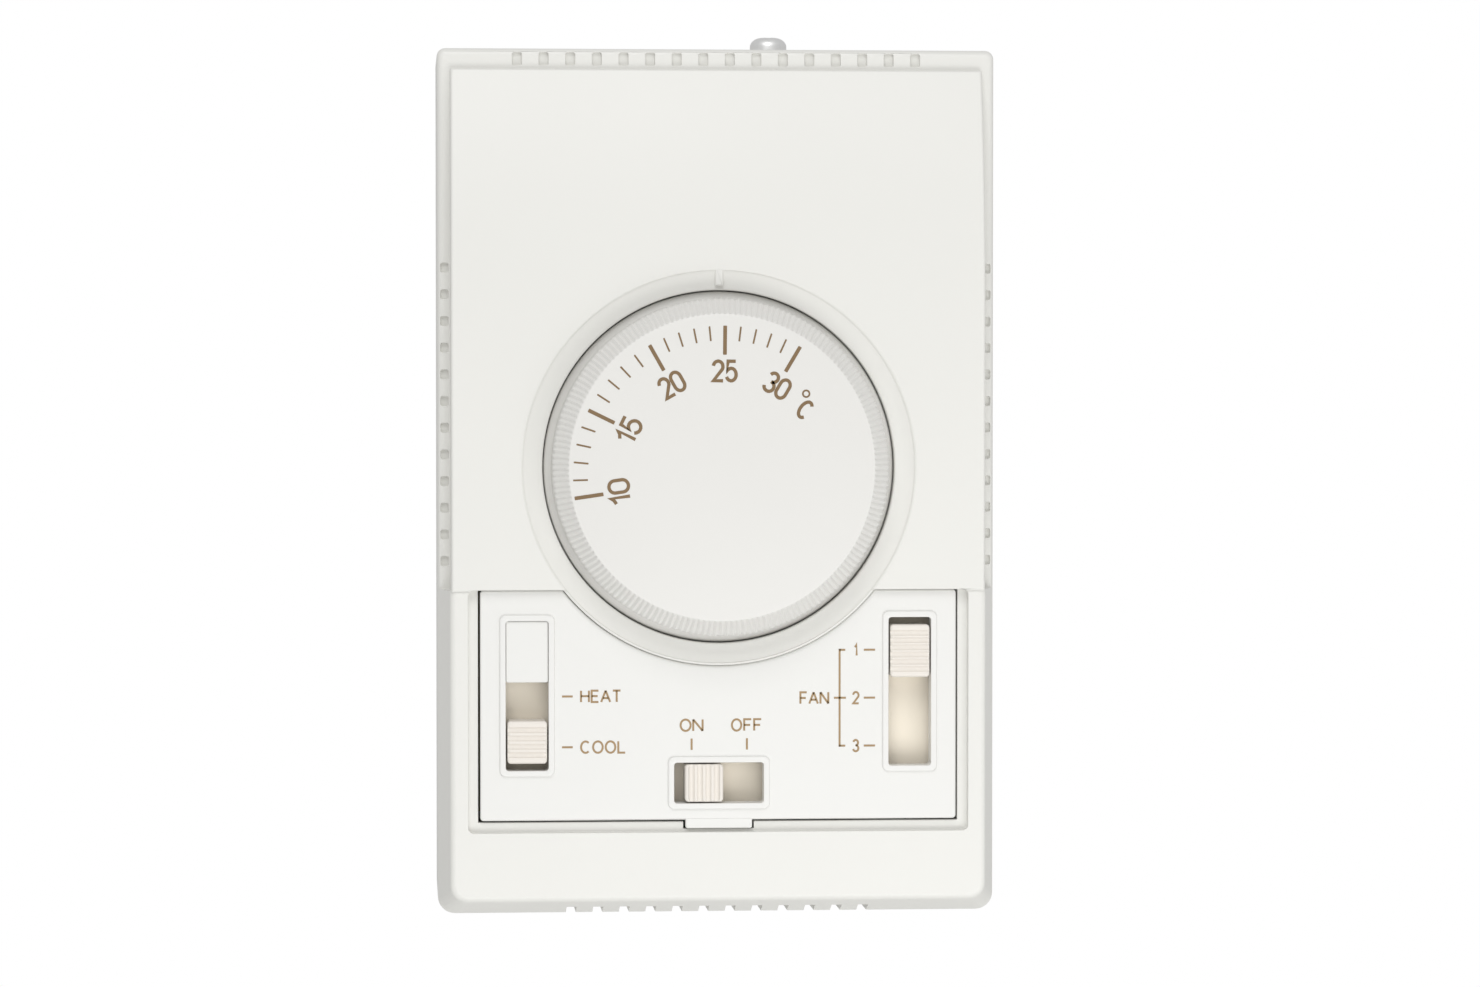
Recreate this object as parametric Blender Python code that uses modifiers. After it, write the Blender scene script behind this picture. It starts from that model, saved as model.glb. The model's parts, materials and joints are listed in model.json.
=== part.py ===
"""Wall thermostat for a fan-coil unit: every piece is one closed solid.

World frame: +X right as seen from the front, +Z up, the wall is the plane y = 0 and the front
faces -Y. A "depth" is the distance out from the wall, so it becomes y = -depth.
"""

import math

import bmesh
import bpy
from mathutils import Matrix, Vector

MM = 0.001

# ---------------------------------------------------------------- driving dimensions
GAP = 0.3 * MM                   # between pieces that touch
EASE = 0.6 * MM                  # round a moving stem in its slot
SLACK = 0.1 * MM                 # keeps the faces of joined shapes from lying in one plane

CASE_W = 84.0 * MM
CASE_H = 130.0 * MM
WALL = 2.0 * MM
LOWER_WALL = 3.4 * MM            # front wall round the control recess
BACK_GAP = 0.5 * MM              # rear edge of the cover to the wall
RIM_DEPTH = 24.5 * MM
PLATE_DEPTH = 30.5 * MM
LOWER_DEPTH = 30.0 * MM
PLATE_INSET = 2.0 * MM           # side strip beside the raised plate
PLATE_TOP_INSET = 3.0 * MM
BOTTOM_BEVEL = 2.4 * MM
TOP_CORNER_R = 1.3 * MM
BOTTOM_CORNER_R = 2.6 * MM
CROWN_LENGTH = 35.0 * MM         # the part of the plate that curves back to the top
CROWN_DROP = 5.0 * MM

VENT_W = 1.45 * MM
VENT_PITCH = 4.0 * MM
VENT_REACH = 8.5 * MM            # how far a slot runs back from the front strip
VENTS_TOP = 16
VENTS_SIDE = 12
VENTS_BOTTOM = 12
SIDE_VENTS_Z = 10.1 * MM

DIAL_Z = 2.3 * MM
DIAL_R = 25.0 * MM
DIAL_BEVEL_W = 2.3 * MM          # skirt radius to the edge of the flat face
DIAL_DEPTH = 37.0 * MM
DIAL_BEVEL = 2.8 * MM            # height of the toothed bevel
DIAL_WALL = 1.8 * MM
DIAL_FLANGE_T = 1.2 * MM
DIAL_GAP = 1.4 * MM              # dial skirt to the opening in the cover
DIAL_FLANGE_LAP = 1.2 * MM       # flange radius past the opening
DISH_W = 3.0 * MM
DISH_SINK = 1.2 * MM
DISH_RIM_T = 2.7 * MM
INDEX_W = 1.2 * MM

RECESS_SIDE = 4.5 * MM           # case edge to recess wall
RECESS_BOTTOM = 12.6 * MM        # case bottom to recess bottom
RECESS_H = 35.9 * MM
RECESS_SINK = 1.4 * MM
LEDGE = 1.5 * MM
TAB_W = 10.0 * MM

PANEL_SINK = 0.6 * MM            # lower front face to the panel's face
PANEL_T = 3.1 * MM
PANEL_FLANGE_T = 1.1 * MM
PANEL_LAP = 1.2 * MM
FRAME_W = 0.9 * MM               # raised frame round a window
FRAME_H = 0.4 * MM
WINDOW_W = 6.4 * MM
LEFT_WINDOW_INSET = 3.8 * MM     # recess opening edge to window edge
LEFT_WINDOW_H = 22.4 * MM
RIGHT_WINDOW_H = 22.3 * MM
SIDE_WINDOWS_BOTTOM = 9.3 * MM   # recess bottom to window bottom, left
RIGHT_WINDOW_LIFT = 0.5 * MM
BLANK_H = 9.2 * MM
BOTTOM_WINDOW_W = 13.45 * MM
BOTTOM_WINDOW_H = 6.1 * MM
BOTTOM_WINDOW_Z = 4.3 * MM       # recess bottom to window bottom

KNOB_SIDE_GAP = 0.25 * MM        # knob to each side of its window
KNOB_T = 5.0 * MM
HEAT_COOL_KNOB_L = 6.4 * MM
HEAT_COOL_TRAVEL = 5.4 * MM
ON_OFF_KNOB_L = 5.75 * MM
ON_OFF_TRAVEL = 5.4 * MM
FAN_KNOB_L = 7.9 * MM
FAN_TRAVEL = 12.8 * MM
KNOB_END_GAP = 1.1 * MM          # window end to knob at the end of its travel
FLAG_T = 1.0 * MM
FLAG_LAP = 1.4 * MM
STEM_W = 3.2 * MM
PEG_W = 2.0 * MM
PEG_H = 2.6 * MM

BASE_T = 2.4 * MM
BASE_RIM_T = 1.6 * MM
BASE_RIM_H = 8.0 * MM
CABLE_W = 24.0 * MM
CABLE_H = 16.0 * MM
LUG_X = 14.0 * MM                # bottom hooks for the cover
LUG_W = 6.0 * MM
LUG_T = 2.4 * MM
SLOT_W = 4.4 * MM
SLOT_L = 9.0 * MM
WALL_SLOT_X = 30.0 * MM
WALL_SLOT_Z = 36.0 * MM

BOARD_T = 1.6 * MM
BOARD_DEPTH = 13.0 * MM
BOARD_SIDE_GAP = 3.5 * MM        # cover wall to board edge
SWITCH_W = 9.0 * MM
SWITCH_T = 5.5 * MM
SWITCH_END = 4.2 * MM

SCREW_R = 1.2 * MM               # small fixing screws
SCREW_HEAD_R = 2.2 * MM
SCREW_HEAD_T = 1.6 * MM
POST_R = 2.7 * MM

COVER_SCREW_X = 8.75 * MM
COVER_SCREW_DEPTH = 12.0 * MM
COVER_SCREW_R = 1.5 * MM
COVER_HEAD_R = 2.8 * MM
COVER_HEAD_T = 2.3 * MM
COVER_SCREW_L = 8.0 * MM
NUT_W = 5.5 * MM
NUT_T = 2.0 * MM

SHEET_T = 1.2 * MM               # sheet-steel bridge
BRIDGE_DEPTH = 15.0 * MM
BRIDGE_HALF_W = 24.0 * MM
BRIDGE_FOOT_DEPTH = 6.3 * MM
BRIDGE_FOOT_L = 7.0 * MM
SPINDLE_R = 3.0 * MM
SPINDLE_TAIL_R = 2.0 * MM
BOSS_WALL = 2.6 * MM
CAM_DEPTH = 9.0 * MM
CAM_T = 3.0 * MM
CAM_REST_R = 9.0 * MM
DIAL_TURN_MIN = -100.0           # degrees, towards 10 on the scale
DIAL_TURN_MAX = 32.0             # degrees, towards 30
LEVER_RATIO = 0.03               # lever angle for one unit of dial angle
LEVER_ARM = 18.0 * MM            # pivot to nose
LEVER_T = 2.0 * MM
NOSE_R = 1.0 * MM
PIN_R = 1.2 * MM
BELLOWS_R = 9.0 * MM
BELLOWS_L = 16.0 * MM
BELLOWS_X = 16.0 * MM
BELLOWS_WAVES = 6
SPRING_WIRE = 0.7 * MM
SPRING_TURNS = 3

SNAP_W = 20.0 * MM
SNAP_H = 10.4 * MM
SNAP_T = 6.4 * MM
SNAP_DEPTH = 8.8 * MM
SNAP_SCREW_X = 6.5 * MM          # middle of the switch to each screw
PLUNGER_R = 1.2 * MM
PLUNGER_PROUD = 1.0 * MM
TAB_TERMINAL_L = 8.0 * MM
WIRE_R = 0.7 * MM

BLOCK_H = 9.2 * MM
BLOCK_T = 10.3 * MM
TERMINALS = 8
TERMINAL_PITCH = 7.5 * MM
TERMINAL_SCREW_R = 2.0 * MM

# ---------------------------------------------------------------- worked-out places
HALF_W = CASE_W / 2
HALF_H = CASE_H / 2
INNER_X = HALF_W - WALL
INNER_Z = HALF_H - WALL
PLATE_X = HALF_W - PLATE_INSET
PLATE_TOP = HALF_H - PLATE_TOP_INSET

RECESS_X = HALF_W - RECESS_SIDE
RECESS_Z0 = RECESS_BOTTOM - HALF_H
RECESS_Z1 = RECESS_Z0 + RECESS_H
LEDGE_DEPTH = LOWER_DEPTH - RECESS_SINK
LEDGE_BACK = LOWER_DEPTH - LOWER_WALL
DIAL_FACE_R = DIAL_R - DIAL_BEVEL_W
DIAL_OPENING_R = DIAL_R + DIAL_GAP
DISH_R = DIAL_OPENING_R + DISH_W
DISH_EDGE_DEPTH = PLATE_DEPTH - DISH_SINK
DIAL_FLANGE_R = DIAL_OPENING_R + DIAL_FLANGE_LAP
DIAL_BACK = PLATE_DEPTH - DISH_RIM_T - 2 * EASE - DIAL_FLANGE_T

PANEL_FACE_DEPTH = LOWER_DEPTH - PANEL_SINK
PANEL_X = RECESS_X - LEDGE - GAP
PANEL_Z0 = RECESS_Z0 + LEDGE + GAP
PANEL_Z1 = RECESS_Z1 - GAP
PANEL_BACK = PANEL_FACE_DEPTH - PANEL_T
FRAME_DEPTH = PANEL_FACE_DEPTH + FRAME_H
FLAG_DEPTH = PANEL_BACK - PANEL_FLANGE_T - GAP - FLAG_T
KNOB_BACK = FLAG_DEPTH + FLAG_T + GAP

BOARD_FRONT = BOARD_DEPTH + BOARD_T
SWITCH_BACK = BOARD_FRONT + GAP
SWITCH_FRONT = SWITCH_BACK + SWITCH_T
BOARD_X = INNER_X - BOARD_SIDE_GAP
BOARD_Z0 = RECESS_Z0 + 1.9 * MM
BOARD_Z1 = RECESS_Z1 + 1.5 * MM
BOARD_SCREW_X = 18.0 * MM
BOARD_SCREW_INSET = 3.5 * MM

LEFT_X = -(PANEL_X - LEFT_WINDOW_INSET - WINDOW_W / 2)
RIGHT_X = -LEFT_X
LEFT_Z0 = RECESS_Z0 + SIDE_WINDOWS_BOTTOM
RIGHT_Z0 = LEFT_Z0 + RIGHT_WINDOW_LIFT
BOTTOM_Z0 = RECESS_Z0 + BOTTOM_WINDOW_Z

CAM_FRONT = CAM_DEPTH + CAM_T
LEVER_DEPTH = CAM_DEPTH
SPINDLE_BOSS_FRONT = CAM_DEPTH - 2.5 * MM
NOSE_Z = DIAL_Z + CAM_REST_R + GAP + NOSE_R
PIVOT_X = -LEVER_ARM
BAR_Z0 = NOSE_Z + 0.4 * MM
BAR_Z1 = NOSE_Z + 3.8 * MM
SHELF_T = 1.2 * MM
SHELF_Z = BAR_Z1 + 0.9 * MM
BELLOWS_Z = SHELF_Z + GAP
BELLOWS_DEPTH = 12.0 * MM
BELLOWS_TIP = 0.4 * MM
PLUNGER_Z = BELLOWS_Z + BELLOWS_L + BELLOWS_TIP + 0.9 * MM
SNAP_Z0 = PLUNGER_Z + PLUNGER_PROUD
SNAP_Z1 = SNAP_Z0 + SNAP_H
SNAP_SCREWS_X = (BELLOWS_X - SNAP_SCREW_X, BELLOWS_X + SNAP_SCREW_X)
BRIDGE_TOP = NOSE_Z + 3.4 * MM
BRIDGE_LOW_TOP = BAR_Z0 - 3.5 * MM
BRIDGE_BOTTOM = DIAL_Z - 14.3 * MM
BRIDGE_FRONT = BRIDGE_DEPTH + SHEET_T
BOSS_Z0 = INNER_Z - 5.5 * MM
BOSS_HALF_W = 5.0 * MM
BOSS_FRONT = COVER_SCREW_DEPTH + 5.0 * MM

# ---------------------------------------------------------------- colours
OFF_WHITE = (0.84, 0.83, 0.80, 1.0)
CREAM = (0.88, 0.83, 0.74, 1.0)
TAN = (0.62, 0.47, 0.31, 1.0)
GREY_PLASTIC = (0.55, 0.55, 0.53, 1.0)
BLACK_PLASTIC = (0.03, 0.03, 0.03, 1.0)
BOARD_GREEN = (0.06, 0.22, 0.10, 1.0)
STEEL = (0.62, 0.63, 0.64, 1.0)
BRASS = (0.72, 0.52, 0.22, 1.0)
COPPER = (0.75, 0.40, 0.22, 1.0)
WIRE_RED = (0.55, 0.05, 0.04, 1.0)


def clear_scene():
    for obj in list(bpy.data.objects):
        bpy.data.objects.remove(obj, do_unlink=True)


def make_collection(name):
    collection = bpy.data.collections.new(name)
    bpy.context.scene.collection.children.link(collection)
    return collection


def material(name, colour, roughness, metallic=0.0):
    found = bpy.data.materials.get(name)
    if found:
        return found
    made = bpy.data.materials.new(name)
    made.use_nodes = True
    shader = made.node_tree.nodes["Principled BSDF"]
    shader.inputs["Base Color"].default_value = colour
    shader.inputs["Roughness"].default_value = roughness
    shader.inputs["Metallic"].default_value = metallic
    return made


# ---------------------------------------------------------------- shape helpers
# Each frame maps a flat outline's own x and y, and the way it is pushed, to the world.
FACING_FRONT = Matrix(((1, 0, 0), (0, 0, -1), (0, 1, 0)))     # x -> +X, y -> +Z, push -> depth
ALONG_X = Matrix(((0, 0, -1), (-1, 0, 0), (0, 1, 0)))         # x -> depth, y -> +Z, push -> -X
ALONG_Z = Matrix(((1, 0, 0), (0, -1, 0), (0, 0, -1)))         # x -> +X, y -> depth, push -> -Z


def add_mesh(name, mesh, collection):
    obj = bpy.data.objects.new(name, mesh)
    collection.objects.link(obj)
    return obj


def extrude(name, loops, start, end, frame=FACING_FRONT):
    """Flat closed outlines, the later ones holes, pushed from start to end along the frame."""
    curve = bpy.data.curves.new(name, "CURVE")
    curve.dimensions = "2D"
    curve.fill_mode = "BOTH"
    curve.extrude = (end - start) / 2
    for loop in loops:
        spline = curve.splines.new("POLY")
        spline.points.add(len(loop) - 1)
        spline.use_cyclic_u = True
        for point, (x, y) in zip(spline.points, loop):
            point.co = (x, y, 0.0, 1.0)
    guide = bpy.data.objects.new(name + "_outline", curve)
    push = frame @ Vector((0.0, 0.0, (start + end) / 2))
    guide.matrix_world = Matrix.Translation(push) @ frame.to_4x4()
    bpy.context.scene.collection.objects.link(guide)
    bpy.context.view_layer.update()
    mesh = bpy.data.meshes.new_from_object(guide.evaluated_get(bpy.context.evaluated_depsgraph_get()))
    mesh.transform(guide.matrix_world)
    bpy.data.objects.remove(guide)
    return add_mesh(name, weld(mesh), WORKSHOP)


def weld(mesh, distance=0.000002):
    work = bmesh.new()
    work.from_mesh(mesh)
    bmesh.ops.remove_doubles(work, verts=work.verts, dist=distance)
    bmesh.ops.recalc_face_normals(work, faces=work.faces)
    work.to_mesh(mesh)
    work.free()
    return mesh


def box(name, x, z, depth):
    """A block from three (low, high) pairs."""
    bpy.ops.mesh.primitive_cube_add(size=1.0)
    obj = bpy.context.object
    obj.name = name
    size = (x[1] - x[0], depth[1] - depth[0], z[1] - z[0])
    centre = ((x[0] + x[1]) / 2, -(depth[0] + depth[1]) / 2, (z[0] + z[1]) / 2)
    obj.data.transform(Matrix.Translation(centre) @ Matrix.Diagonal((*size, 1.0)))
    move_to(obj, WORKSHOP)
    return obj


def move_to(obj, collection):
    for owner in list(obj.users_collection):
        owner.objects.unlink(obj)
    collection.objects.link(obj)


def turned(name, profile, x, z, depth=None, segments=24):
    """A profile of (radius, height) turned about an axis out of the wall, or, with a depth, upright.

    Heights are depths on an axis out of the wall and Z values on an upright one. The profile runs
    from the far end down its outer side to the near end.
    """
    mesh = bpy.data.meshes.new(name)
    points = [(radius, 0.0, height) for radius, height in profile]
    mesh.from_pydata(points, [(i, i + 1) for i in range(len(points) - 1)], [])
    lathe = add_mesh(name + "_lathe", mesh, WORKSHOP)
    screw = lathe.modifiers.new("Turn", "SCREW")
    screw.steps = screw.render_steps = segments
    screw.use_merge_vertices = True
    screw.merge_threshold = 0.000005
    bpy.context.view_layer.update()
    solid = bpy.data.meshes.new_from_object(lathe.evaluated_get(bpy.context.evaluated_depsgraph_get()))
    bpy.data.objects.remove(lathe)
    if depth is None:
        solid.transform(Matrix.Translation((x, 0.0, z)) @ Matrix.Rotation(math.pi / 2, 4, "X"))
    else:
        solid.transform(Matrix.Translation((x, -depth, 0.0)))
    return add_mesh(name, weld(solid), WORKSHOP)


def rod(name, radius, x, z, depths, segments=24):
    low, high = depths
    return turned(name, [(0, high), (radius, high), (radius, low), (0, low)], x, z, None, segments)


def upright(name, radius, x, depth, heights, segments=24):
    low, high = heights
    return turned(name, [(0, high), (radius, high), (radius, low), (0, low)], x, 0, depth, segments)


def combine(operation, target, tools):
    for tool in tools:
        change = target.modifiers.new(tool.name, "BOOLEAN")
        change.operation = operation
        change.object = tool
        change.solver = "EXACT"
        tool.hide_render = True
        tool.display_type = "WIRE"
        move_to(tool, CUTTERS)
    return target


def cut(target, *tools):
    return combine("DIFFERENCE", target, tools)


def add(target, *tools):
    return combine("UNION", target, tools)


def gather(name, pieces):
    """Several cutters that don't meet, as one object."""
    work = bmesh.new()
    for piece in pieces:
        work.from_mesh(piece.data)
        bpy.data.objects.remove(piece)
    mesh = bpy.data.meshes.new(name)
    work.to_mesh(mesh)
    work.free()
    return add_mesh(name, mesh, WORKSHOP)


def tube(name, points, radius, resolution=2):
    """A round bar along points of (x, depth, z), with flat ends."""
    curve = bpy.data.curves.new(name, "CURVE")
    curve.dimensions = "3D"
    curve.bevel_depth = radius
    curve.bevel_resolution = resolution
    curve.use_fill_caps = True
    spline = curve.splines.new("POLY")
    spline.points.add(len(points) - 1)
    for point, (x, depth, z) in zip(spline.points, points):
        point.co = (x, -depth, z, 1.0)
    guide = bpy.data.objects.new(name + "_route", curve)
    bpy.context.scene.collection.objects.link(guide)
    bpy.context.view_layer.update()
    mesh = bpy.data.meshes.new_from_object(guide.evaluated_get(bpy.context.evaluated_depsgraph_get()))
    bpy.data.objects.remove(guide)
    return add_mesh(name, weld(mesh), WORKSHOP)


def finish(obj, look, pivot=None):
    """Put a finished piece in the object's collection, with its origin on its pivot."""
    obj.data.materials.clear()
    obj.data.materials.append(look)
    obj.data.shade_smooth()
    obj.data.set_sharp_from_angle(angle=math.radians(35))
    if pivot:
        obj.data.transform(Matrix.Translation(-Vector(pivot)))
        obj.location = pivot
    move_to(obj, PIECES)
    return obj


# ---------------------------------------------------------------- outlines
def rect(x0, x1, z0, z1):
    return [(x0, z0), (x1, z0), (x1, z1), (x0, z1)]


def arc(cx, cz, radius, start, end, steps):
    """Points on an arc; angles in degrees, counter-clockwise from +X."""
    angles = [math.radians(start + (end - start) * i / steps) for i in range(steps + 1)]
    return [(cx + radius * math.cos(a), cz + radius * math.sin(a)) for a in angles]


def circle(cx, cz, radius, steps):
    return arc(cx, cz, radius, 0, 360, steps)[:-1]


def rounded_case(x, z, top_r, bottom_r, steps=3):
    return (arc(x - bottom_r, bottom_r - z, bottom_r, -90, 0, steps)
            + arc(x - top_r, z - top_r, top_r, 0, 90, steps)
            + arc(top_r - x, z - top_r, top_r, 90, 180, steps)
            + arc(bottom_r - x, bottom_r - z, bottom_r, 180, 270, steps))


def obround(cx, cz, length, width, upright_slot=False, steps=6):
    half = (length - width) / 2
    if upright_slot:
        return (arc(cx, cz + half, width / 2, 0, 180, steps)
                + arc(cx, cz - half, width / 2, 180, 360, steps))
    return (arc(cx + half, cz, width / 2, -90, 90, steps)
            + arc(cx - half, cz, width / 2, 90, 270, steps))


def crown_profile(back, inset, bottom, steps=9):
    """(depth, Z) outline of the raised plate: flat, then an arc back to the top."""
    flat_top = PLATE_TOP - CROWN_LENGTH
    radius = (CROWN_LENGTH ** 2 + CROWN_DROP ** 2) / (2 * CROWN_DROP)
    reach = math.degrees(math.asin((CROWN_LENGTH - inset) / (radius - inset)))
    curve = arc(PLATE_DEPTH - radius, flat_top, radius - inset, 0, reach, steps)
    return [(back, bottom), (PLATE_DEPTH - inset, bottom)] + curve + [(back, curve[-1][1])]


# ---------------------------------------------------------------- front cover
def lower_bulge(name, back, front, top):
    """Front block of the lower half: its sides and bottom lean in towards the front."""
    block = box(name, (-HALF_W, HALF_W), (-HALF_H, top), (back, front))
    for vertex in block.data.vertices:
        if vertex.co.y < -(back + front) / 2:
            vertex.co.x = math.copysign(PLATE_X, vertex.co.x)
            if vertex.co.z < (top - HALF_H) / 2:
                vertex.co.z = BOTTOM_BEVEL - HALF_H
    outline = rounded_case(HALF_W - SLACK, HALF_H - SLACK, TOP_CORNER_R, BOTTOM_CORNER_R)
    guard = extrude(name + "_guard", [outline], back - WALL, front + WALL)
    return combine("INTERSECT", block, [guard])


def vent_positions(count):
    return [(i - (count - 1) / 2) * VENT_PITCH for i in range(count)]


def vent_cutters():
    """L-shaped slots: through the front strip beside the plate and inwards into the case."""
    strip_mid = RIM_DEPTH - VENT_REACH
    inward = RIM_DEPTH - WALL - GAP
    half = VENT_W / 2
    top, side, bottom = [], [], []
    z_out, z_in = HALF_H - 0.6 * MM, PLATE_TOP + 0.4 * MM
    for x in vent_positions(VENTS_TOP):
        outline = [(strip_mid, INNER_Z - WALL), (inward, INNER_Z - WALL), (inward, z_in),
                   (PLATE_DEPTH, z_in), (PLATE_DEPTH, z_out), (strip_mid, z_out)]
        top.append(extrude("vent", [outline], -(x + half), -(x - half), ALONG_X))
    x_out, x_in = HALF_W - 0.55 * MM, PLATE_X + 0.1 * MM
    for offset in vent_positions(VENTS_SIDE):
        z = SIDE_VENTS_Z + offset
        for sign in (-1, 1):
            outline = [(sign * (INNER_X - WALL), strip_mid), (sign * (INNER_X - WALL), inward),
                       (sign * x_in, inward), (sign * x_in, PLATE_DEPTH),
                       (sign * x_out, PLATE_DEPTH), (sign * x_out, strip_mid)]
            side.append(extrude("vent", [outline], -(z + half), -(z - half), ALONG_Z))
    low = -HALF_H
    for x in vent_positions(VENTS_BOTTOM):
        outline = [(strip_mid, low + 2 * WALL), (inward, low + 2 * WALL), (inward, low + 1.5 * MM),
                   (LOWER_DEPTH + WALL, low + 1.5 * MM), (LOWER_DEPTH + WALL, low - WALL),
                   (strip_mid, low - WALL)]
        bottom.append(extrude("vent", [outline], -(x + half), -(x - half), ALONG_X))
    return gather("vents_top", top), gather("vents_side", side), gather("vents_bottom", bottom)


def front_cover():
    outline = rounded_case(HALF_W, HALF_H, TOP_CORNER_R, BOTTOM_CORNER_R)
    cover = extrude("front_cover", [outline], BACK_GAP, RIM_DEPTH)
    plate = extrude("plate_block", [crown_profile(BACK_GAP + WALL, 0.0, RECESS_Z1 + SLACK)],
                    -PLATE_X, PLATE_X, ALONG_X)
    inner_plate = extrude("plate_hollow", [crown_profile(-WALL, WALL, RECESS_Z1 + WALL)],
                          -(PLATE_X - WALL), PLATE_X - WALL, ALONG_X)
    hollow = box("case_hollow", (-INNER_X, INNER_X), (-INNER_Z, INNER_Z), (-WALL, RIM_DEPTH - WALL))
    lower = lower_bulge("lower_block", RIM_DEPTH - WALL / 2, LOWER_DEPTH, RECESS_Z1 + GAP)
    lower_x = PLATE_X - WALL
    lower_hollow = box("lower_hollow", (-lower_x, lower_x),
                       (BOTTOM_BEVEL + WALL - HALF_H, RECESS_Z1 + 2 * WALL), (-WALL, LEDGE_BACK))
    recess = box("recess", (-RECESS_X, RECESS_X), (RECESS_Z0, RECESS_Z1),
                 (LEDGE_DEPTH, PLATE_DEPTH + WALL))
    opening_x = RECESS_X - LEDGE
    opening = box("panel_opening", (-opening_x, opening_x), (RECESS_Z0 + LEDGE, RECESS_Z1 - SLACK),
                  (-WALL, PLATE_DEPTH + WALL))
    tab_x = TAB_W / 2 + GAP
    tab_slot = box("tab_slot", (-tab_x, tab_x), (RECESS_Z0 + SLACK, RECESS_Z0 + 2 * LEDGE),
                   (LEDGE_BACK - WALL, PLATE_DEPTH + WALL))
    rim_back = PLATE_DEPTH - DISH_RIM_T
    rim_front = PLATE_DEPTH - SLACK
    dish_rim = turned("dish_rim", [(0, rim_front), (DISH_R, rim_front), (DISH_R, rim_back),
                                   (0, rim_back)], 0, DIAL_Z, segments=72)
    middle = DIAL_OPENING_R + DISH_W * 0.45
    far = PLATE_DEPTH + 2 * WALL
    cove = [(0, far), (DISH_R + GAP, far), (DISH_R - GAP, PLATE_DEPTH),
            (middle, DISH_EDGE_DEPTH + DISH_SINK * 0.18), (DIAL_OPENING_R, DISH_EDGE_DEPTH),
            (DIAL_OPENING_R, -WALL), (0, -WALL)]
    dish = turned("dish_cut", cove, 0, DIAL_Z, segments=72)
    index_z = DIAL_Z + DIAL_OPENING_R
    index = box("index_rib", (-INDEX_W / 2, INDEX_W / 2), (index_z + EASE, index_z + DISH_W + GAP),
                (DISH_EDGE_DEPTH - GAP, PLATE_DEPTH - SLACK))
    screw_hole = upright("cover_screw_hole", COVER_SCREW_R + GAP, COVER_SCREW_X, COVER_SCREW_DEPTH,
                         (INNER_Z - WALL, HALF_H + WALL), 16)
    lug_pockets = [box("lug_pocket", (x - LUG_W / 2 - GAP, x + LUG_W / 2 + GAP),
                       (-HALF_H + EASE, -INNER_Z + WALL), (0.0, LUG_T + 2 * GAP))
                   for x in (-LUG_X, LUG_X)]
    add(cover, plate, lower)
    cut(cover, hollow, inner_plate, lower_hollow, recess, opening, tab_slot)
    add(cover, dish_rim)
    cut(cover, dish)
    add(cover, index)
    cut(cover, *vent_cutters(), screw_hole, gather("lug_pockets", lug_pockets))
    return finish(cover, material("cover_plastic", OFF_WHITE, 0.45))


# ---------------------------------------------------------------- rear base plate
def base_posts():
    """Name, x, z, radius and front depth of each post that stands on the base."""
    board_low = BOARD_Z0 + BOARD_SCREW_INSET
    board_high = BOARD_Z1 - BOARD_SCREW_INSET
    foot_x = BRIDGE_HALF_W + BRIDGE_FOOT_L / 2
    posts = [(sign * BOARD_SCREW_X, z, POST_R, BOARD_DEPTH - GAP)
             for z in (board_low, board_high) for sign in (-1, 1)]
    posts += [(sign * foot_x, DIAL_Z, POST_R + 1 * MM, BRIDGE_FOOT_DEPTH - GAP) for sign in (-1, 1)]
    posts += [(x, SNAP_Z0 + SNAP_H / 2, POST_R, SNAP_DEPTH - GAP) for x in SNAP_SCREWS_X]
    return posts


def blind_boss(name, shaft_r, x, z, front):
    """A round boss on the base with a blind bore for a shaft of the given radius."""
    bore, outer, floor, root = shaft_r + GAP, shaft_r + BOSS_WALL, BASE_T + SLACK, BASE_T / 2
    profile = [(0, floor), (bore, floor), (bore, front), (outer, front), (outer, root), (0, root)]
    return turned(name, profile, x, z, segments=20)


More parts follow.
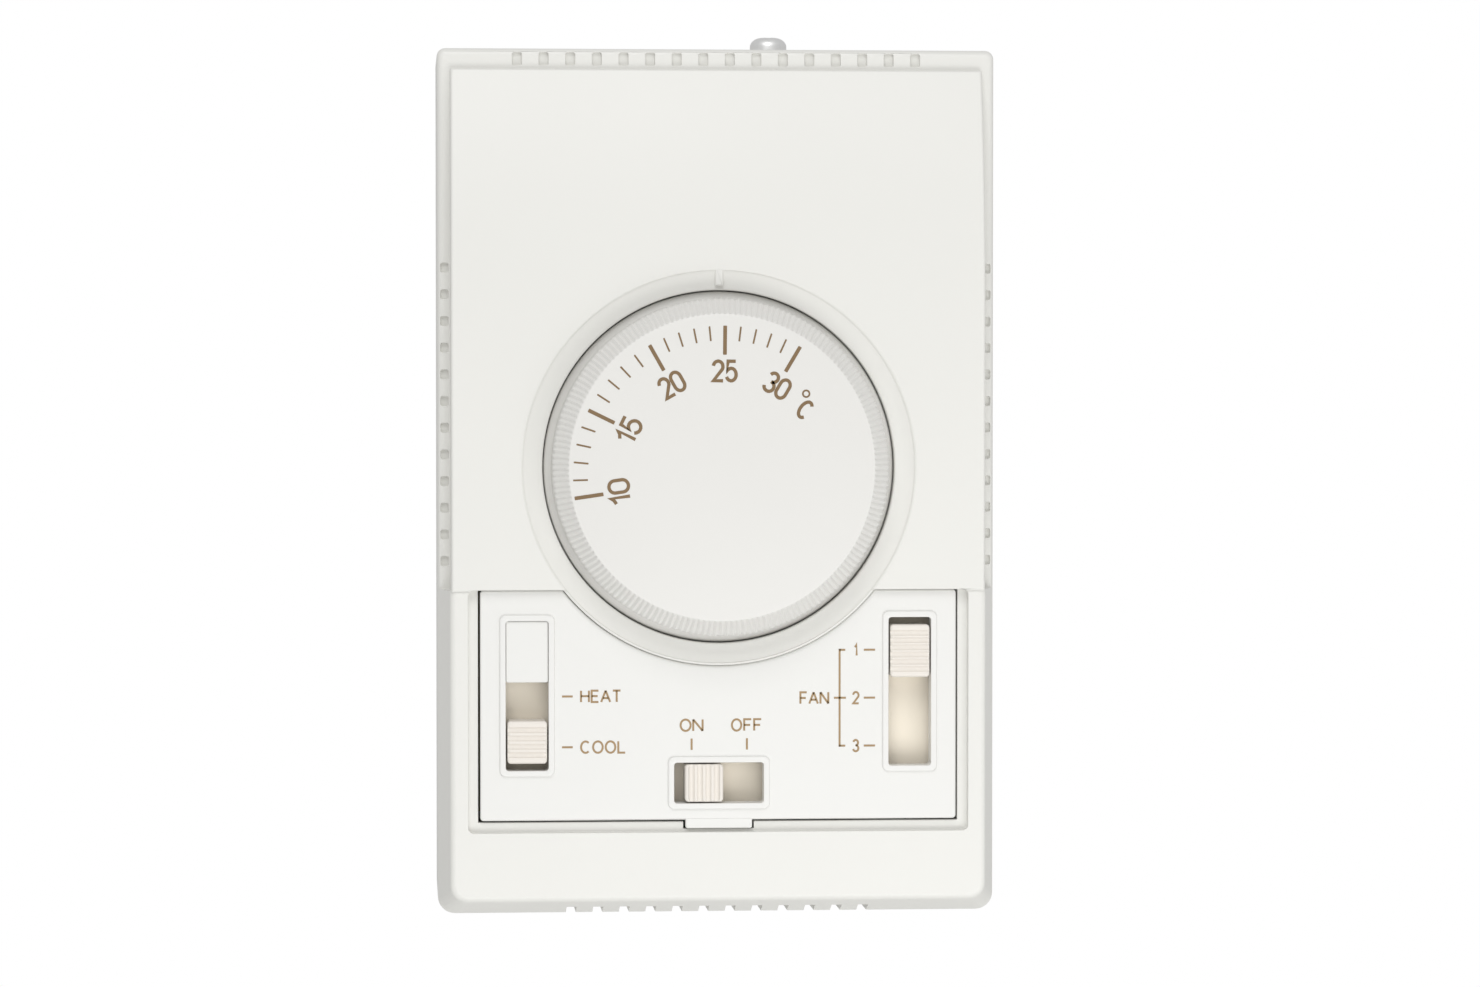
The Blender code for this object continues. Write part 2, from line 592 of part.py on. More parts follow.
def rear_base_plate():
    edge_x, edge_z = INNER_X - GAP, INNER_Z - GAP
    cable_z = BOARD_Z0 + 4.5 * MM
    outlines = [obround(sign * WALL_SLOT_X, WALL_SLOT_Z, SLOT_L, SLOT_W) for sign in (-1, 1)]
    outlines.append(obround(0, RECESS_Z1 - 3.5 * MM, SLOT_L, SLOT_W, upright_slot=True))
    outlines.append(rect(-CABLE_W / 2, CABLE_W / 2, cable_z, cable_z + CABLE_H))
    holes = gather("base_holes", [extrude("hole", [outline], -WALL, BASE_RIM_H)
                                  for outline in outlines])
    base = box("rear_base_plate", (-edge_x, edge_x), (-edge_z, edge_z), (0.0, BASE_RIM_H))
    inner_x, inner_z = edge_x - BASE_RIM_T, edge_z - BASE_RIM_T
    tray = box("base_tray", (-inner_x, inner_x), (-inner_z, inner_z), (BASE_T, BASE_RIM_H + WALL))
    posts = gather("posts", [rod("post", r, x, z, (BASE_T / 2, front), 16)
                             for x, z, r, front in base_posts()])
    pilot_back = BASE_T / 2
    pilots = gather("pilots", [rod("pilot", SCREW_R + GAP, x, z, (pilot_back, front + WALL), 12)
                               for x, z, r, front in base_posts()])
    spindle_boss = blind_boss("spindle_boss", SPINDLE_TAIL_R, 0, DIAL_Z, SPINDLE_BOSS_FRONT)
    pin_boss = blind_boss("pin_boss", PIN_R, PIVOT_X, NOSE_Z, LEVER_DEPTH - EASE)
    block = box("screw_block", (COVER_SCREW_X - BOSS_HALF_W, COVER_SCREW_X + BOSS_HALF_W),
                (BOSS_Z0, edge_z - SLACK), (BASE_T / 2, BOSS_FRONT))
    bore = upright("screw_bore", COVER_SCREW_R + GAP, COVER_SCREW_X, COVER_SCREW_DEPTH,
                   (BOSS_Z0 - WALL, INNER_Z + WALL), 16)
    nut_half = NUT_W / 2 + GAP
    pocket = box("nut_pocket", (COVER_SCREW_X - nut_half, COVER_SCREW_X + nut_half),
                 (nut_z() - GAP, nut_z() + NUT_T + GAP),
                 (COVER_SCREW_DEPTH - nut_half, BOSS_FRONT + WALL))
    lugs = gather("lugs", [box("lug", (x - LUG_W / 2, x + LUG_W / 2),
                               (-edge_z - 1.4 * MM, -edge_z + BASE_RIM_T / 2),
                               (BACK_GAP, LUG_T)) for x in (-LUG_X, LUG_X)])
    cut(base, tray, holes)
    add(base, posts, spindle_boss, pin_boss, block, lugs)
    cut(base, pilots, bore, pocket)
    return finish(base, material("base_plastic", GREY_PLASTIC, 0.55))


def nut_z():
    return BOSS_Z0 + 1.8 * MM


# ---------------------------------------------------------------- fixings
def slot_screw(name, x, z, seat, length, radius=SCREW_R, head_r=SCREW_HEAD_R, head_t=SCREW_HEAD_T):
    """A cheese-head screw whose head rests on the seat depth and whose shank runs to the wall."""
    under = seat + GAP
    top = under + head_t
    tip = under - length
    body = turned(name, [(0, top), (head_r, top), (head_r, under), (radius, under),
                         (radius, tip), (0, tip)], x, z, segments=14)
    kerf = 0.25 * head_r
    slot = box(name + "_slot", (x - 2 * head_r, x + 2 * head_r), (z - kerf / 2, z + kerf / 2),
               (top - head_t * 0.5, top + head_t))
    return finish(cut(body, slot), material("zinc_steel", STEEL, 0.35, 1.0))


def cover_screw():
    under = HALF_H + GAP
    top = under + COVER_HEAD_T
    tip = under - COVER_SCREW_L
    body = turned("cover_screw", [(0, top), (COVER_HEAD_R * 0.7, top),
                                  (COVER_HEAD_R, top - COVER_HEAD_T * 0.45), (COVER_HEAD_R, under),
                                  (COVER_SCREW_R, under), (COVER_SCREW_R, tip), (0, tip)],
                  COVER_SCREW_X, 0, COVER_SCREW_DEPTH, 20)
    arm, kerf = COVER_HEAD_R * 0.6, COVER_HEAD_R * 0.14
    floor = top - COVER_HEAD_T * 0.55
    x, d = COVER_SCREW_X, COVER_SCREW_DEPTH
    cross = [box("cross_a", (x - arm, x + arm), (floor, top + GAP), (d - kerf, d + kerf)),
             box("cross_b", (x - kerf, x + kerf), (floor, top + GAP), (d - arm, d + arm))]
    return finish(cut(body, *cross), material("zinc_steel", STEEL, 0.35, 1.0))


def cover_nut():
    half, x, d = NUT_W / 2, COVER_SCREW_X, COVER_SCREW_DEPTH
    outline = rect(x - half, x + half, d - half, d + half)
    nut = extrude("cover_nut", [outline, circle(x, d, COVER_SCREW_R + GAP, 16)],
                  -(nut_z() + NUT_T), -nut_z(), ALONG_Z)
    return finish(nut, material("zinc_steel", STEEL, 0.35, 1.0))


# ---------------------------------------------------------------- control panel
def windows():
    """x0, x1, z0, z1 of the left, right and bottom windows."""
    half = WINDOW_W / 2
    wide = BOTTOM_WINDOW_W / 2
    return ((LEFT_X - half, LEFT_X + half, LEFT_Z0, LEFT_Z0 + LEFT_WINDOW_H),
            (RIGHT_X - half, RIGHT_X + half, RIGHT_Z0, RIGHT_Z0 + RIGHT_WINDOW_H),
            (-wide, wide, BOTTOM_Z0, BOTTOM_Z0 + BOTTOM_WINDOW_H))


def control_panel():
    panel = box("control_panel", (-PANEL_X, PANEL_X), (PANEL_Z0, PANEL_Z1),
                (PANEL_BACK, PANEL_FACE_DEPTH))
    tab = box("panel_tab", (-TAB_W / 2, TAB_W / 2), (RECESS_Z0 + GAP, PANEL_Z0 + WALL),
              (PANEL_BACK + SLACK, PANEL_FACE_DEPTH - SLACK))
    lap_x, lap_z = PANEL_X + PANEL_LAP, PANEL_Z0 - PANEL_LAP
    inner_x, inner_z0, inner_z1 = PANEL_X - FRAME_W, PANEL_Z0 + FRAME_W, PANEL_Z1 - 2 * FRAME_W
    hole = rect(-inner_x, inner_x, inner_z0, inner_z1)
    flange_back = PANEL_BACK - PANEL_FLANGE_T
    flange = extrude("panel_flange", [rect(-lap_x, lap_x, lap_z, PANEL_Z1 - GAP), hole],
                     flange_back, LEDGE_BACK - GAP - SLACK)
    neck_x, neck_z0, neck_z1 = PANEL_X - GAP, PANEL_Z0 + GAP, PANEL_Z1 - 2 * GAP
    neck_hole = rect(-inner_x - SLACK, inner_x + SLACK, inner_z0 - SLACK, inner_z1 + SLACK)
    neck = extrude("panel_neck", [rect(-neck_x, neck_x, neck_z0, neck_z1), neck_hole],
                   PANEL_BACK - PANEL_FLANGE_T / 2, PANEL_BACK + PANEL_FLANGE_T)
    frames = [box(f"frame_{i}", (x0 - FRAME_W, x1 + FRAME_W), (z0 - FRAME_W, z1 + FRAME_W),
                  (PANEL_FACE_DEPTH - PANEL_T / 2, FRAME_DEPTH))
              for i, (x0, x1, z0, z1) in enumerate(windows())]
    openings = gather("window_cuts", [box("window", (x0, x1), (z0, z1), (0.0, PLATE_DEPTH + WALL))
                                      for x0, x1, z0, z1 in windows()])
    round_cut = rod("panel_round", DISH_R + GAP, 0, DIAL_Z, (0, PLATE_DEPTH + WALL), 72)
    add(panel, tab, neck, flange, *frames)
    cut(panel, openings, round_cut)
    return finish(panel, material("cover_plastic", OFF_WHITE, 0.45))


def blanking_insert():
    x0, x1, z0, z1 = windows()[0]
    plug = box("blanking_insert", (x0 + GAP, x1 - GAP), (z1 - BLANK_H, z1 - GAP),
               (PANEL_BACK, PANEL_FACE_DEPTH))
    return finish(plug, material("cover_plastic", OFF_WHITE, 0.45))


# ---------------------------------------------------------------- slide switches
def slide_sets():
    """For each slide: name, window, way of travel, knob length, travel, knob centre at rest."""
    left, right, bottom = windows()
    left_z = left[2] + KNOB_END_GAP + HEAT_COOL_KNOB_L / 2
    right_z = right[3] - KNOB_END_GAP - FAN_KNOB_L / 2
    bottom_x = bottom[0] + KNOB_END_GAP + FLAG_T / 2 + ON_OFF_KNOB_L / 2
    bottom_z = (bottom[2] + bottom[3]) / 2
    return (("heat_cool", left, (0, 1), HEAT_COOL_KNOB_L, HEAT_COOL_TRAVEL, (LEFT_X, left_z)),
            ("on_off", bottom, (1, 0), ON_OFF_KNOB_L, ON_OFF_TRAVEL, (bottom_x, bottom_z)),
            ("fan", right, (0, -1), FAN_KNOB_L, FAN_TRAVEL, (RIGHT_X, right_z)))


def span(centre, half, way, reach_back, reach_on):
    """x and z ranges of a slab along a way of travel, reaching back and on from its centre."""
    across = 1 - abs(way[0]), 1 - abs(way[1])
    ranges = []
    for axis in (0, 1):
        if across[axis]:
            ranges.append((centre[axis] - half, centre[axis] + half))
        else:
            ends = (centre[axis] - way[axis] * reach_back, centre[axis] + way[axis] * reach_on)
            ranges.append((min(ends), max(ends)))
    return ranges


def slide_switch(name, way, travel, rest):
    body_reach = STEM_W / 2 + SWITCH_END
    slot_reach = STEM_W / 2 + EASE
    xs, zs = span(rest, SWITCH_W / 2, way, body_reach, body_reach + travel)
    body = box(name + "_switch", xs, zs, (SWITCH_BACK, SWITCH_FRONT))
    slot_x, slot_z = span(rest, slot_reach, way, slot_reach, slot_reach + travel)
    slot = box(name + "_slot", slot_x, slot_z, (SWITCH_FRONT - 0.6 * SWITCH_T, SWITCH_FRONT + WALL))
    finish(cut(body, slot), material("switch_housing", STEEL, 0.3, 1.0))


def slider(name, window, way, travel, rest):
    stem_back = SWITCH_FRONT - 0.6 * SWITCH_T + GAP
    axis = 0 if way[0] else 1
    low, high = window[2 * axis], window[2 * axis + 1]
    start, goal = (low, high) if way[axis] > 0 else (high, low)
    reach_back = abs(start - rest[axis]) + travel + FLAG_LAP / 2
    reach_on = abs(goal - rest[axis]) + FLAG_LAP / 2
    half = (window[1] - window[0]) / 2 if way[1] else (window[3] - window[2]) / 2
    xs, zs = span(rest, half + FLAG_LAP / 2, way, reach_back, reach_on)
    flag_top = FLAG_DEPTH + FLAG_T
    flag = box(name + "_slider", xs, zs, (FLAG_DEPTH, flag_top))
    stem_x, stem_z = span(rest, STEM_W / 2, way, STEM_W / 2, STEM_W / 2)
    stem = box(name + "_stem", stem_x, stem_z, (stem_back, FLAG_DEPTH + FLAG_T / 2))
    peg_x, peg_z = span(rest, PEG_W / 2, way, PEG_W / 2, PEG_W / 2)
    peg = box(name + "_peg", peg_x, peg_z, (FLAG_DEPTH + FLAG_T / 2, flag_top + PEG_H))
    finish(add(flag, stem, peg), material("slider_plastic", TAN, 0.5), (rest[0], -flag_top, rest[1]))


def slide_knob(name, window, way, knob_l, rest):
    """Knob with chamfered long sides, and ridges across its top."""
    half = (window[1] - window[0] if way[1] else window[3] - window[2]) / 2 - KNOB_SIDE_GAP
    xs, zs = span(rest, half, way, knob_l / 2, knob_l / 2)
    knob = box(name + "_knob", xs, zs, (KNOB_BACK, KNOB_BACK + KNOB_T))
    hole = PEG_W / 2 + GAP
    hole_x, hole_z = span(rest, hole, way, hole, hole)
    socket = box(name + "_socket", hole_x, hole_z, (KNOB_BACK - GAP, KNOB_BACK + PEG_H))
    grooves = []
    count = max(3, round(knob_l / (1.6 * MM)))
    for i in range(count):
        along = (i - (count - 1) / 2) * knob_l / (count + 0.6)
        centre = (rest[0] + along * abs(way[0]), rest[1] + along * abs(way[1]))
        cut_x, cut_z = span(centre, 2 * half, way, GAP, GAP)
        grooves.append(box("groove", cut_x, cut_z,
                           (KNOB_BACK + KNOB_T - EASE, KNOB_BACK + KNOB_T + WALL)))
    cut(knob, socket, gather(name + "_grooves", grooves))
    finish(knob, material("knob_plastic", CREAM, 0.4), (rest[0], -KNOB_BACK, rest[1]))


# ---------------------------------------------------------------- setting mechanism
def dial_knob():
    bevel_back = DIAL_DEPTH - DIAL_BEVEL
    inner = DIAL_R - DIAL_WALL
    flange_front = DIAL_BACK + DIAL_FLANGE_T
    under = DIAL_DEPTH - 2 * MM
    hub_back = clip_front() + 3 * GAP
    bore = SPINDLE_R + GAP
    profile = [(0, DIAL_DEPTH), (DIAL_FACE_R, DIAL_DEPTH), (DIAL_R, bevel_back),
               (DIAL_R, flange_front), (DIAL_FLANGE_R, flange_front), (DIAL_FLANGE_R, DIAL_BACK),
               (inner, DIAL_BACK), (inner, bevel_back), (inner - 0.9 * MM, under),
               (bore + 2.2 * MM, under), (bore + 2.2 * MM, hub_back), (bore, hub_back),
               (bore, spindle_front() + GAP), (0, spindle_front() + GAP)]
    knob = turned("dial_knob", profile, 0, DIAL_Z, segments=60)
    return finish(knob, material("cover_plastic", OFF_WHITE, 0.45), (0, 0, DIAL_Z))


def spindle_front():
    return DIAL_DEPTH - 4 * MM


def bush_front():
    return BRIDGE_FRONT + GAP + 2 * MM


def clip_front():
    return bush_front() + GAP + 0.9 * MM


def cam_radius(back_turn):
    """Radius of the cam at the point that a dial turn of back_turn degrees brings to the top."""
    return CAM_REST_R + LEVER_ARM * math.sin(math.radians(back_turn * LEVER_RATIO))


def cam_outline():
    """Snail outline: the working arc, a margin past each end, and a smooth drop between."""
    margin = 14.0
    first, last = DIAL_TURN_MIN - margin, DIAL_TURN_MAX + margin
    work_steps, drop_steps = 26, 18
    turns = [first + (last - first) * i / work_steps for i in range(work_steps + 1)]
    points = [(turn, cam_radius(turn)) for turn in turns]
    high, low = cam_radius(last), cam_radius(first)
    gap_angle = 360 - (last - first)
    for i in range(1, drop_steps):
        share = i / drop_steps
        ease = (1 - math.cos(math.pi * share)) / 2
        points.append((last + gap_angle * share, high + (low - high) * ease))
    return [(radius * math.sin(math.radians(turn)), DIAL_Z + radius * math.cos(math.radians(turn)))
            for turn, radius in points]


def cam_spindle():
    front = spindle_front()
    tail = BASE_T + 2 * GAP
    shoulder = SPINDLE_BOSS_FRONT + GAP
    profile = [(0, front), (SPINDLE_R, front), (SPINDLE_R, shoulder), (SPINDLE_TAIL_R, shoulder),
               (SPINDLE_TAIL_R, tail), (0, tail)]
    spindle = turned("cam_spindle", profile, 0, DIAL_Z, segments=28)
    cam = extrude("cam_disc", [cam_outline()[::-1]], CAM_DEPTH, CAM_FRONT)
    return finish(add(spindle, cam), material("spindle_plastic", CREAM, 0.4), (0, 0, DIAL_Z))


def spindle_bush():
    bore, shank, flange = SPINDLE_R + GAP, SPINDLE_R + 1.2 * MM, SPINDLE_R + 2.2 * MM
    front, seat, back = bush_front(), BRIDGE_FRONT + GAP, CAM_FRONT + EASE
    profile = [(bore, front), (flange, front), (flange, seat), (shank, seat), (shank, back),
               (bore, back), (bore, front)]
    return finish(turned("spindle_bush", profile, 0, DIAL_Z, segments=28),
                  material("brass", BRASS, 0.3, 1.0))


def spindle_clip():
    start, end = clip_front() - 0.9 * MM, clip_front()
    outline = (arc(0, DIAL_Z, SPINDLE_R + 2.4 * MM, -60, 240, 20)
               + arc(0, DIAL_Z, SPINDLE_R + GAP, 240, -60, 16))
    return finish(extrude("spindle_clip", [outline], start, end),
                  material("spring_steel", STEEL, 0.3, 1.0))


def bridge_foot_x():
    return BRIDGE_HALF_W + BRIDGE_FOOT_L


def mechanism_bracket():
    """Sheet-steel bridge: front plate, two legs and two feet."""
    w, half_foot = BRIDGE_HALF_W, 4.5 * MM
    step_x = BELLOWS_X - BELLOWS_R - 2.0 * MM
    outline = [(-w, BRIDGE_BOTTOM), (w, BRIDGE_BOTTOM), (w, BRIDGE_LOW_TOP),
               (step_x, BRIDGE_LOW_TOP), (step_x, BRIDGE_TOP), (-w, BRIDGE_TOP)]
    holes = [circle(0, DIAL_Z, SPINDLE_R + 1.2 * MM + GAP, 24),
             circle(PIVOT_X, NOSE_Z, PIN_R + GAP, 12)]
    plate = extrude("mechanism_bracket", [outline] + holes, BRIDGE_DEPTH, BRIDGE_FRONT)
    foot_front = BRIDGE_FOOT_DEPTH + SHEET_T
    pieces = []
    for sign, top in ((-1, BRIDGE_TOP), (1, BRIDGE_LOW_TOP)):
        xs = sorted((sign * (w - SLACK), sign * (w - SLACK - SHEET_T)))
        foot = sorted((sign * (w - SHEET_T / 2), sign * bridge_foot_x()))
        pieces.append(box("leg", xs, (BRIDGE_BOTTOM + SLACK, top - SLACK),
                          (BRIDGE_FOOT_DEPTH + SLACK, BRIDGE_FRONT - SLACK)))
        pieces.append(box("foot", foot, (DIAL_Z - half_foot, DIAL_Z + half_foot),
                          (BRIDGE_FOOT_DEPTH, foot_front)))
    add(plate, *pieces)
    screw_x = w + BRIDGE_FOOT_L / 2
    cut(plate, *[rod("foot_hole", SCREW_R + GAP, sign * screw_x, DIAL_Z, (0, BRIDGE_FRONT), 12)
                 for sign in (-1, 1)])
    return finish(plate, material("zinc_steel", STEEL, 0.35, 1.0))


def cam_lever():
    """Flat bar with a round eye, a nose on the cam and a shelf for the bellows."""
    eye_r = PIN_R + 2.0 * MM
    shelf_half = BELLOWS_R - 1.0 * MM
    end_x = BELLOWS_X + shelf_half
    front = LEVER_DEPTH + LEVER_T
    bar = extrude("cam_lever", [rect(PIVOT_X, end_x, BAR_Z0, BAR_Z1)], LEVER_DEPTH, front)
    eye = rod("lever_eye", eye_r, PIVOT_X, NOSE_Z, (LEVER_DEPTH, front))
    nose = rod("lever_nose", NOSE_R, 0, NOSE_Z, (LEVER_DEPTH, front), 16)
    shelf = box("lever_shelf", (BELLOWS_X - shelf_half, end_x), (SHELF_Z - SHELF_T, SHELF_Z),
                (BELLOWS_DEPTH - shelf_half, BELLOWS_DEPTH + shelf_half))
    web = box("lever_web", (BELLOWS_X - shelf_half, end_x), (BAR_Z0, SHELF_Z - SHELF_T / 2),
              (LEVER_DEPTH, front))
    bore = rod("lever_bore", PIN_R + GAP, PIVOT_X, NOSE_Z, (0, BRIDGE_DEPTH), 16)
    stud_hole = upright("bellows_stud_hole", 1.0 * MM + GAP, BELLOWS_X, BELLOWS_DEPTH + 2.5 * MM,
                        (BAR_Z0, SHELF_Z + WALL), 12)
    return finish(cut(add(bar, eye, nose, web, shelf), bore, stud_hole),
                  material("lever_brass", BRASS, 0.35, 1.0), (PIVOT_X, 0, NOSE_Z))


def lever_pin():
    head = BRIDGE_FRONT + GAP
    tip = BASE_T + 2 * GAP
    profile = [(0, head + 1 * MM), (PIN_R + 0.9 * MM, head + 1 * MM), (PIN_R + 0.9 * MM, head),
               (PIN_R, head), (PIN_R, tip), (0, tip)]
    return finish(turned("lever_pin", profile, PIVOT_X, NOSE_Z, segments=16),
                  material("zinc_steel", STEEL, 0.35, 1.0))


def lever_spring():
    """Torsion spring round the pin: one leg over the lever, the other against the bridge leg."""
    wire_r = SPRING_WIRE / 2
    mean_r = PIN_R + GAP + wire_r + 0.25 * MM
    front = LEVER_DEPTH + LEVER_T
    start = front + GAP + wire_r + 0.2 * MM
    end = BRIDGE_DEPTH - GAP - wire_r
    rise = (end - start) / (SPRING_TURNS + 0.25)
    leg_z = BAR_Z1 + EASE + wire_r
    leg_x = PIVOT_X + 8.0 * MM
    points = [(leg_x, LEVER_DEPTH + 0.6 * MM, leg_z), (leg_x, start - 0.6 * MM, leg_z),
              (leg_x - 0.4 * MM, start, leg_z - 0.1 * MM)]
    steps = 12 * SPRING_TURNS + 3
    for i in range(steps + 1):
        angle = math.radians(70 + 30 * i)
        points.append((PIVOT_X + mean_r * math.cos(angle), start + rise * i / 12,
                       NOSE_Z + mean_r * math.sin(angle)))
    tail_x = -(BRIDGE_HALF_W - SHEET_T) + GAP + wire_r
    points.append((tail_x, end, NOSE_Z - 3.0 * MM))
    return finish(tube("lever_spring", points, wire_r), material("spring_steel", STEEL, 0.3, 1.0))


def bellows():
    """Corrugated capsule with a stud below and a rounded tip above."""
    low, high = BELLOWS_Z, BELLOWS_Z + BELLOWS_L
    wave = (high - low - 2 * MM) / BELLOWS_WAVES
    root_r = BELLOWS_R - 2.2 * MM
    profile = [(0, high + BELLOWS_TIP), (2.0 * MM, high + BELLOWS_TIP), (2.2 * MM, high),
               (root_r, high), (root_r, high - 1 * MM)]
    for i in range(BELLOWS_WAVES):
        crest = high - 1 * MM - wave * i
        profile += [(BELLOWS_R, crest - wave * 0.35), (BELLOWS_R, crest - wave * 0.65),
                    (root_r, crest - wave)]
    profile += [(root_r, low), (0, low)]
    body = turned("bellows", profile, BELLOWS_X, 0, BELLOWS_DEPTH, 24)
    stud = upright("bellows_stud", 1.0 * MM, BELLOWS_X, BELLOWS_DEPTH + 2.5 * MM,
                   (SHELF_Z - SHELF_T - 0.6 * MM, BELLOWS_Z + 1 * MM), 12)
    return finish(add(body, stud), material("brass", BRASS, 0.3, 1.0))


# ---------------------------------------------------------------- snap switch
def terminal_x():
    return [BELLOWS_X + offset * 7.0 * MM for offset in (-1, 0, 1)]


def snap_switch():
    x0, x1 = BELLOWS_X - SNAP_W / 2, BELLOWS_X + SNAP_W / 2
    front = SNAP_DEPTH + SNAP_T
    body = box("snap_switch_body", (x0, x1), (SNAP_Z0, SNAP_Z1), (SNAP_DEPTH, front))
    holes = [rod("snap_hole", SCREW_R + GAP, x, SNAP_Z0 + SNAP_H / 2, (0, front + WALL), 12)
             for x in SNAP_SCREWS_X]
    plunger_hole = upright("plunger_hole", PLUNGER_R + GAP, BELLOWS_X, BELLOWS_DEPTH,
                           (SNAP_Z0 - WALL, SNAP_Z0 + 3.5 * MM), 14)
    pockets = [box("pocket", (x - 1.5 * MM - GAP, x + 1.5 * MM + GAP),
                   (SNAP_Z1 - 2.6 * MM, SNAP_Z1 + WALL),
                   (BELLOWS_DEPTH - 0.4 * MM - GAP, BELLOWS_DEPTH + 0.4 * MM + GAP))
               for x in terminal_x()]
    cut(body, *holes, plunger_hole, gather("pockets", pockets))
    finish(body, material("black_plastic", BLACK_PLASTIC, 0.4))
    plunger = turned("snap_switch_plunger",
                     [(0, SNAP_Z0 + 2.4 * MM), (PLUNGER_R, SNAP_Z0 + 2.4 * MM),
                      (PLUNGER_R, PLUNGER_Z + 0.3 * MM), (PLUNGER_R * 0.7, PLUNGER_Z), (0, PLUNGER_Z)],
                     BELLOWS_X, 0, BELLOWS_DEPTH, 16)
    finish(plunger, material("plunger_plastic", CREAM, 0.4), (BELLOWS_X, -BELLOWS_DEPTH, PLUNGER_Z))
    for i, x in enumerate(terminal_x(), 1):
        tab = box(f"snap_switch_terminal_{i}", (x - 1.5 * MM, x + 1.5 * MM),
                  (SNAP_Z1 - 2.3 * MM, SNAP_Z1 - 2.3 * MM + TAB_TERMINAL_L),
                  (BELLOWS_DEPTH - 0.4 * MM, BELLOWS_DEPTH + 0.4 * MM))
        finish(tab, material("brass", BRASS, 0.3, 1.0))
    for i, x in enumerate(SNAP_SCREWS_X, 1):
        slot_screw(f"switch_screw_{i}", x, SNAP_Z0 + SNAP_H / 2, front, 11 * MM)


# ---------------------------------------------------------------- board and wiring
def board_screws_at():
    return [(sign * BOARD_SCREW_X, z) for z in (BOARD_Z0 + BOARD_SCREW_INSET,
                                                BOARD_Z1 - BOARD_SCREW_INSET) for sign in (-1, 1)]


def circuit_board():
    holes = [circle(x, z, SCREW_R + GAP, 12) for x, z in board_screws_at()]
    board = extrude("circuit_board", [rect(-BOARD_X, BOARD_X, BOARD_Z0, BOARD_Z1)] + holes,
                    BOARD_DEPTH, BOARD_FRONT)
    finish(board, material("board_laminate", BOARD_GREEN, 0.5))
    for i, (x, z) in enumerate(board_screws_at(), 1):
        slot_screw(f"board_screw_{i}", x, z, BOARD_FRONT, 8 * MM)


def board_parts():
    z = BOARD_Z1 - 12.0 * MM
    radius, half = 1.6 * MM, 4.5 * MM
    depth = BOARD_FRONT + GAP + radius
    lead, reach = 0.35 * MM, 7.5 * MM
    outline = [(0, -reach), (lead, -reach), (lead, -half), (radius, -half + 0.7 * MM),
               (radius, half - 0.7 * MM), (lead, half), (lead, reach), (0, reach)]
    resistor = turned("anticipator_resistor", outline[::-1], 0, 0, 0.0, 14)
    turn = Matrix.Translation((-11 * MM, -depth, z)) @ Matrix.Rotation(math.pi / 2, 4, "Y")
    resistor.data.transform(turn)
    finish(resistor, material("resistor_body", CREAM, 0.5))
    capacitor = box("suppressor_capacitor", (5 * MM, 17 * MM), (z - 3 * MM, z + 3 * MM),
                    (BOARD_FRONT + GAP, BOARD_FRONT + 7 * MM))
    finish(capacitor, material("capacitor_case", TAN, 0.5))


def terminal_block():
    bottom = -INNER_Z + 0.8 * MM
    bottom += BASE_RIM_T
    top = bottom + BLOCK_H
    back = BASE_T + GAP
    front = back + BLOCK_T
    half = TERMINALS * TERMINAL_PITCH / 2
    block = box("terminal_block", (-half, half), (bottom, top), (back, front))
    middle = (bottom + top) / 2
    centres = [(i - (TERMINALS - 1) / 2) * TERMINAL_PITCH for i in range(TERMINALS)]
    floor = front - 5 * MM
    wells = gather("wells", [rod("well", TERMINAL_SCREW_R + GAP, x, middle, (floor, front + WALL), 16)
                             for x in centres])
    entry = 1.8 * MM
    entries = gather("entries", [box("entry", (x - entry, x + entry), (middle, top + WALL),
                                     (back + 1.2 * MM, floor - GAP)) for x in centres])
    cut(block, wells, entries)
    finish(block, material("terminal_plastic", GREY_PLASTIC, 0.5))
    for i, x in enumerate(centres, 1):
        slot_screw(f"terminal_screw_{i}", x, middle, floor, 0.3 * MM, 1.0 * MM, TERMINAL_SCREW_R,
                   2.4 * MM)


def smooth_route(points, per_leg=3):
    """Points on a smooth curve through the given ones, each leg leaving along its neighbours' chord."""
    ends = [Vector(point) for point in (points[0], *points, points[-1])]
    route = []
    for p0, p1, p2, p3 in zip(ends, ends[1:], ends[2:], ends[3:]):
        length = (p2 - p1).length
        leave, arrive = (p2 - p0).normalized() * length, (p3 - p1).normalized() * length
        for step in range(per_leg):
            t = step / per_leg
            route.append(tuple(p1 * (2 * t ** 3 - 3 * t ** 2 + 1) + leave * (t ** 3 - 2 * t ** 2 + t)
                               + p2 * (3 * t ** 2 - 2 * t ** 3) + arrive * (t ** 3 - t ** 2)))
    return route + [tuple(points[-1])]


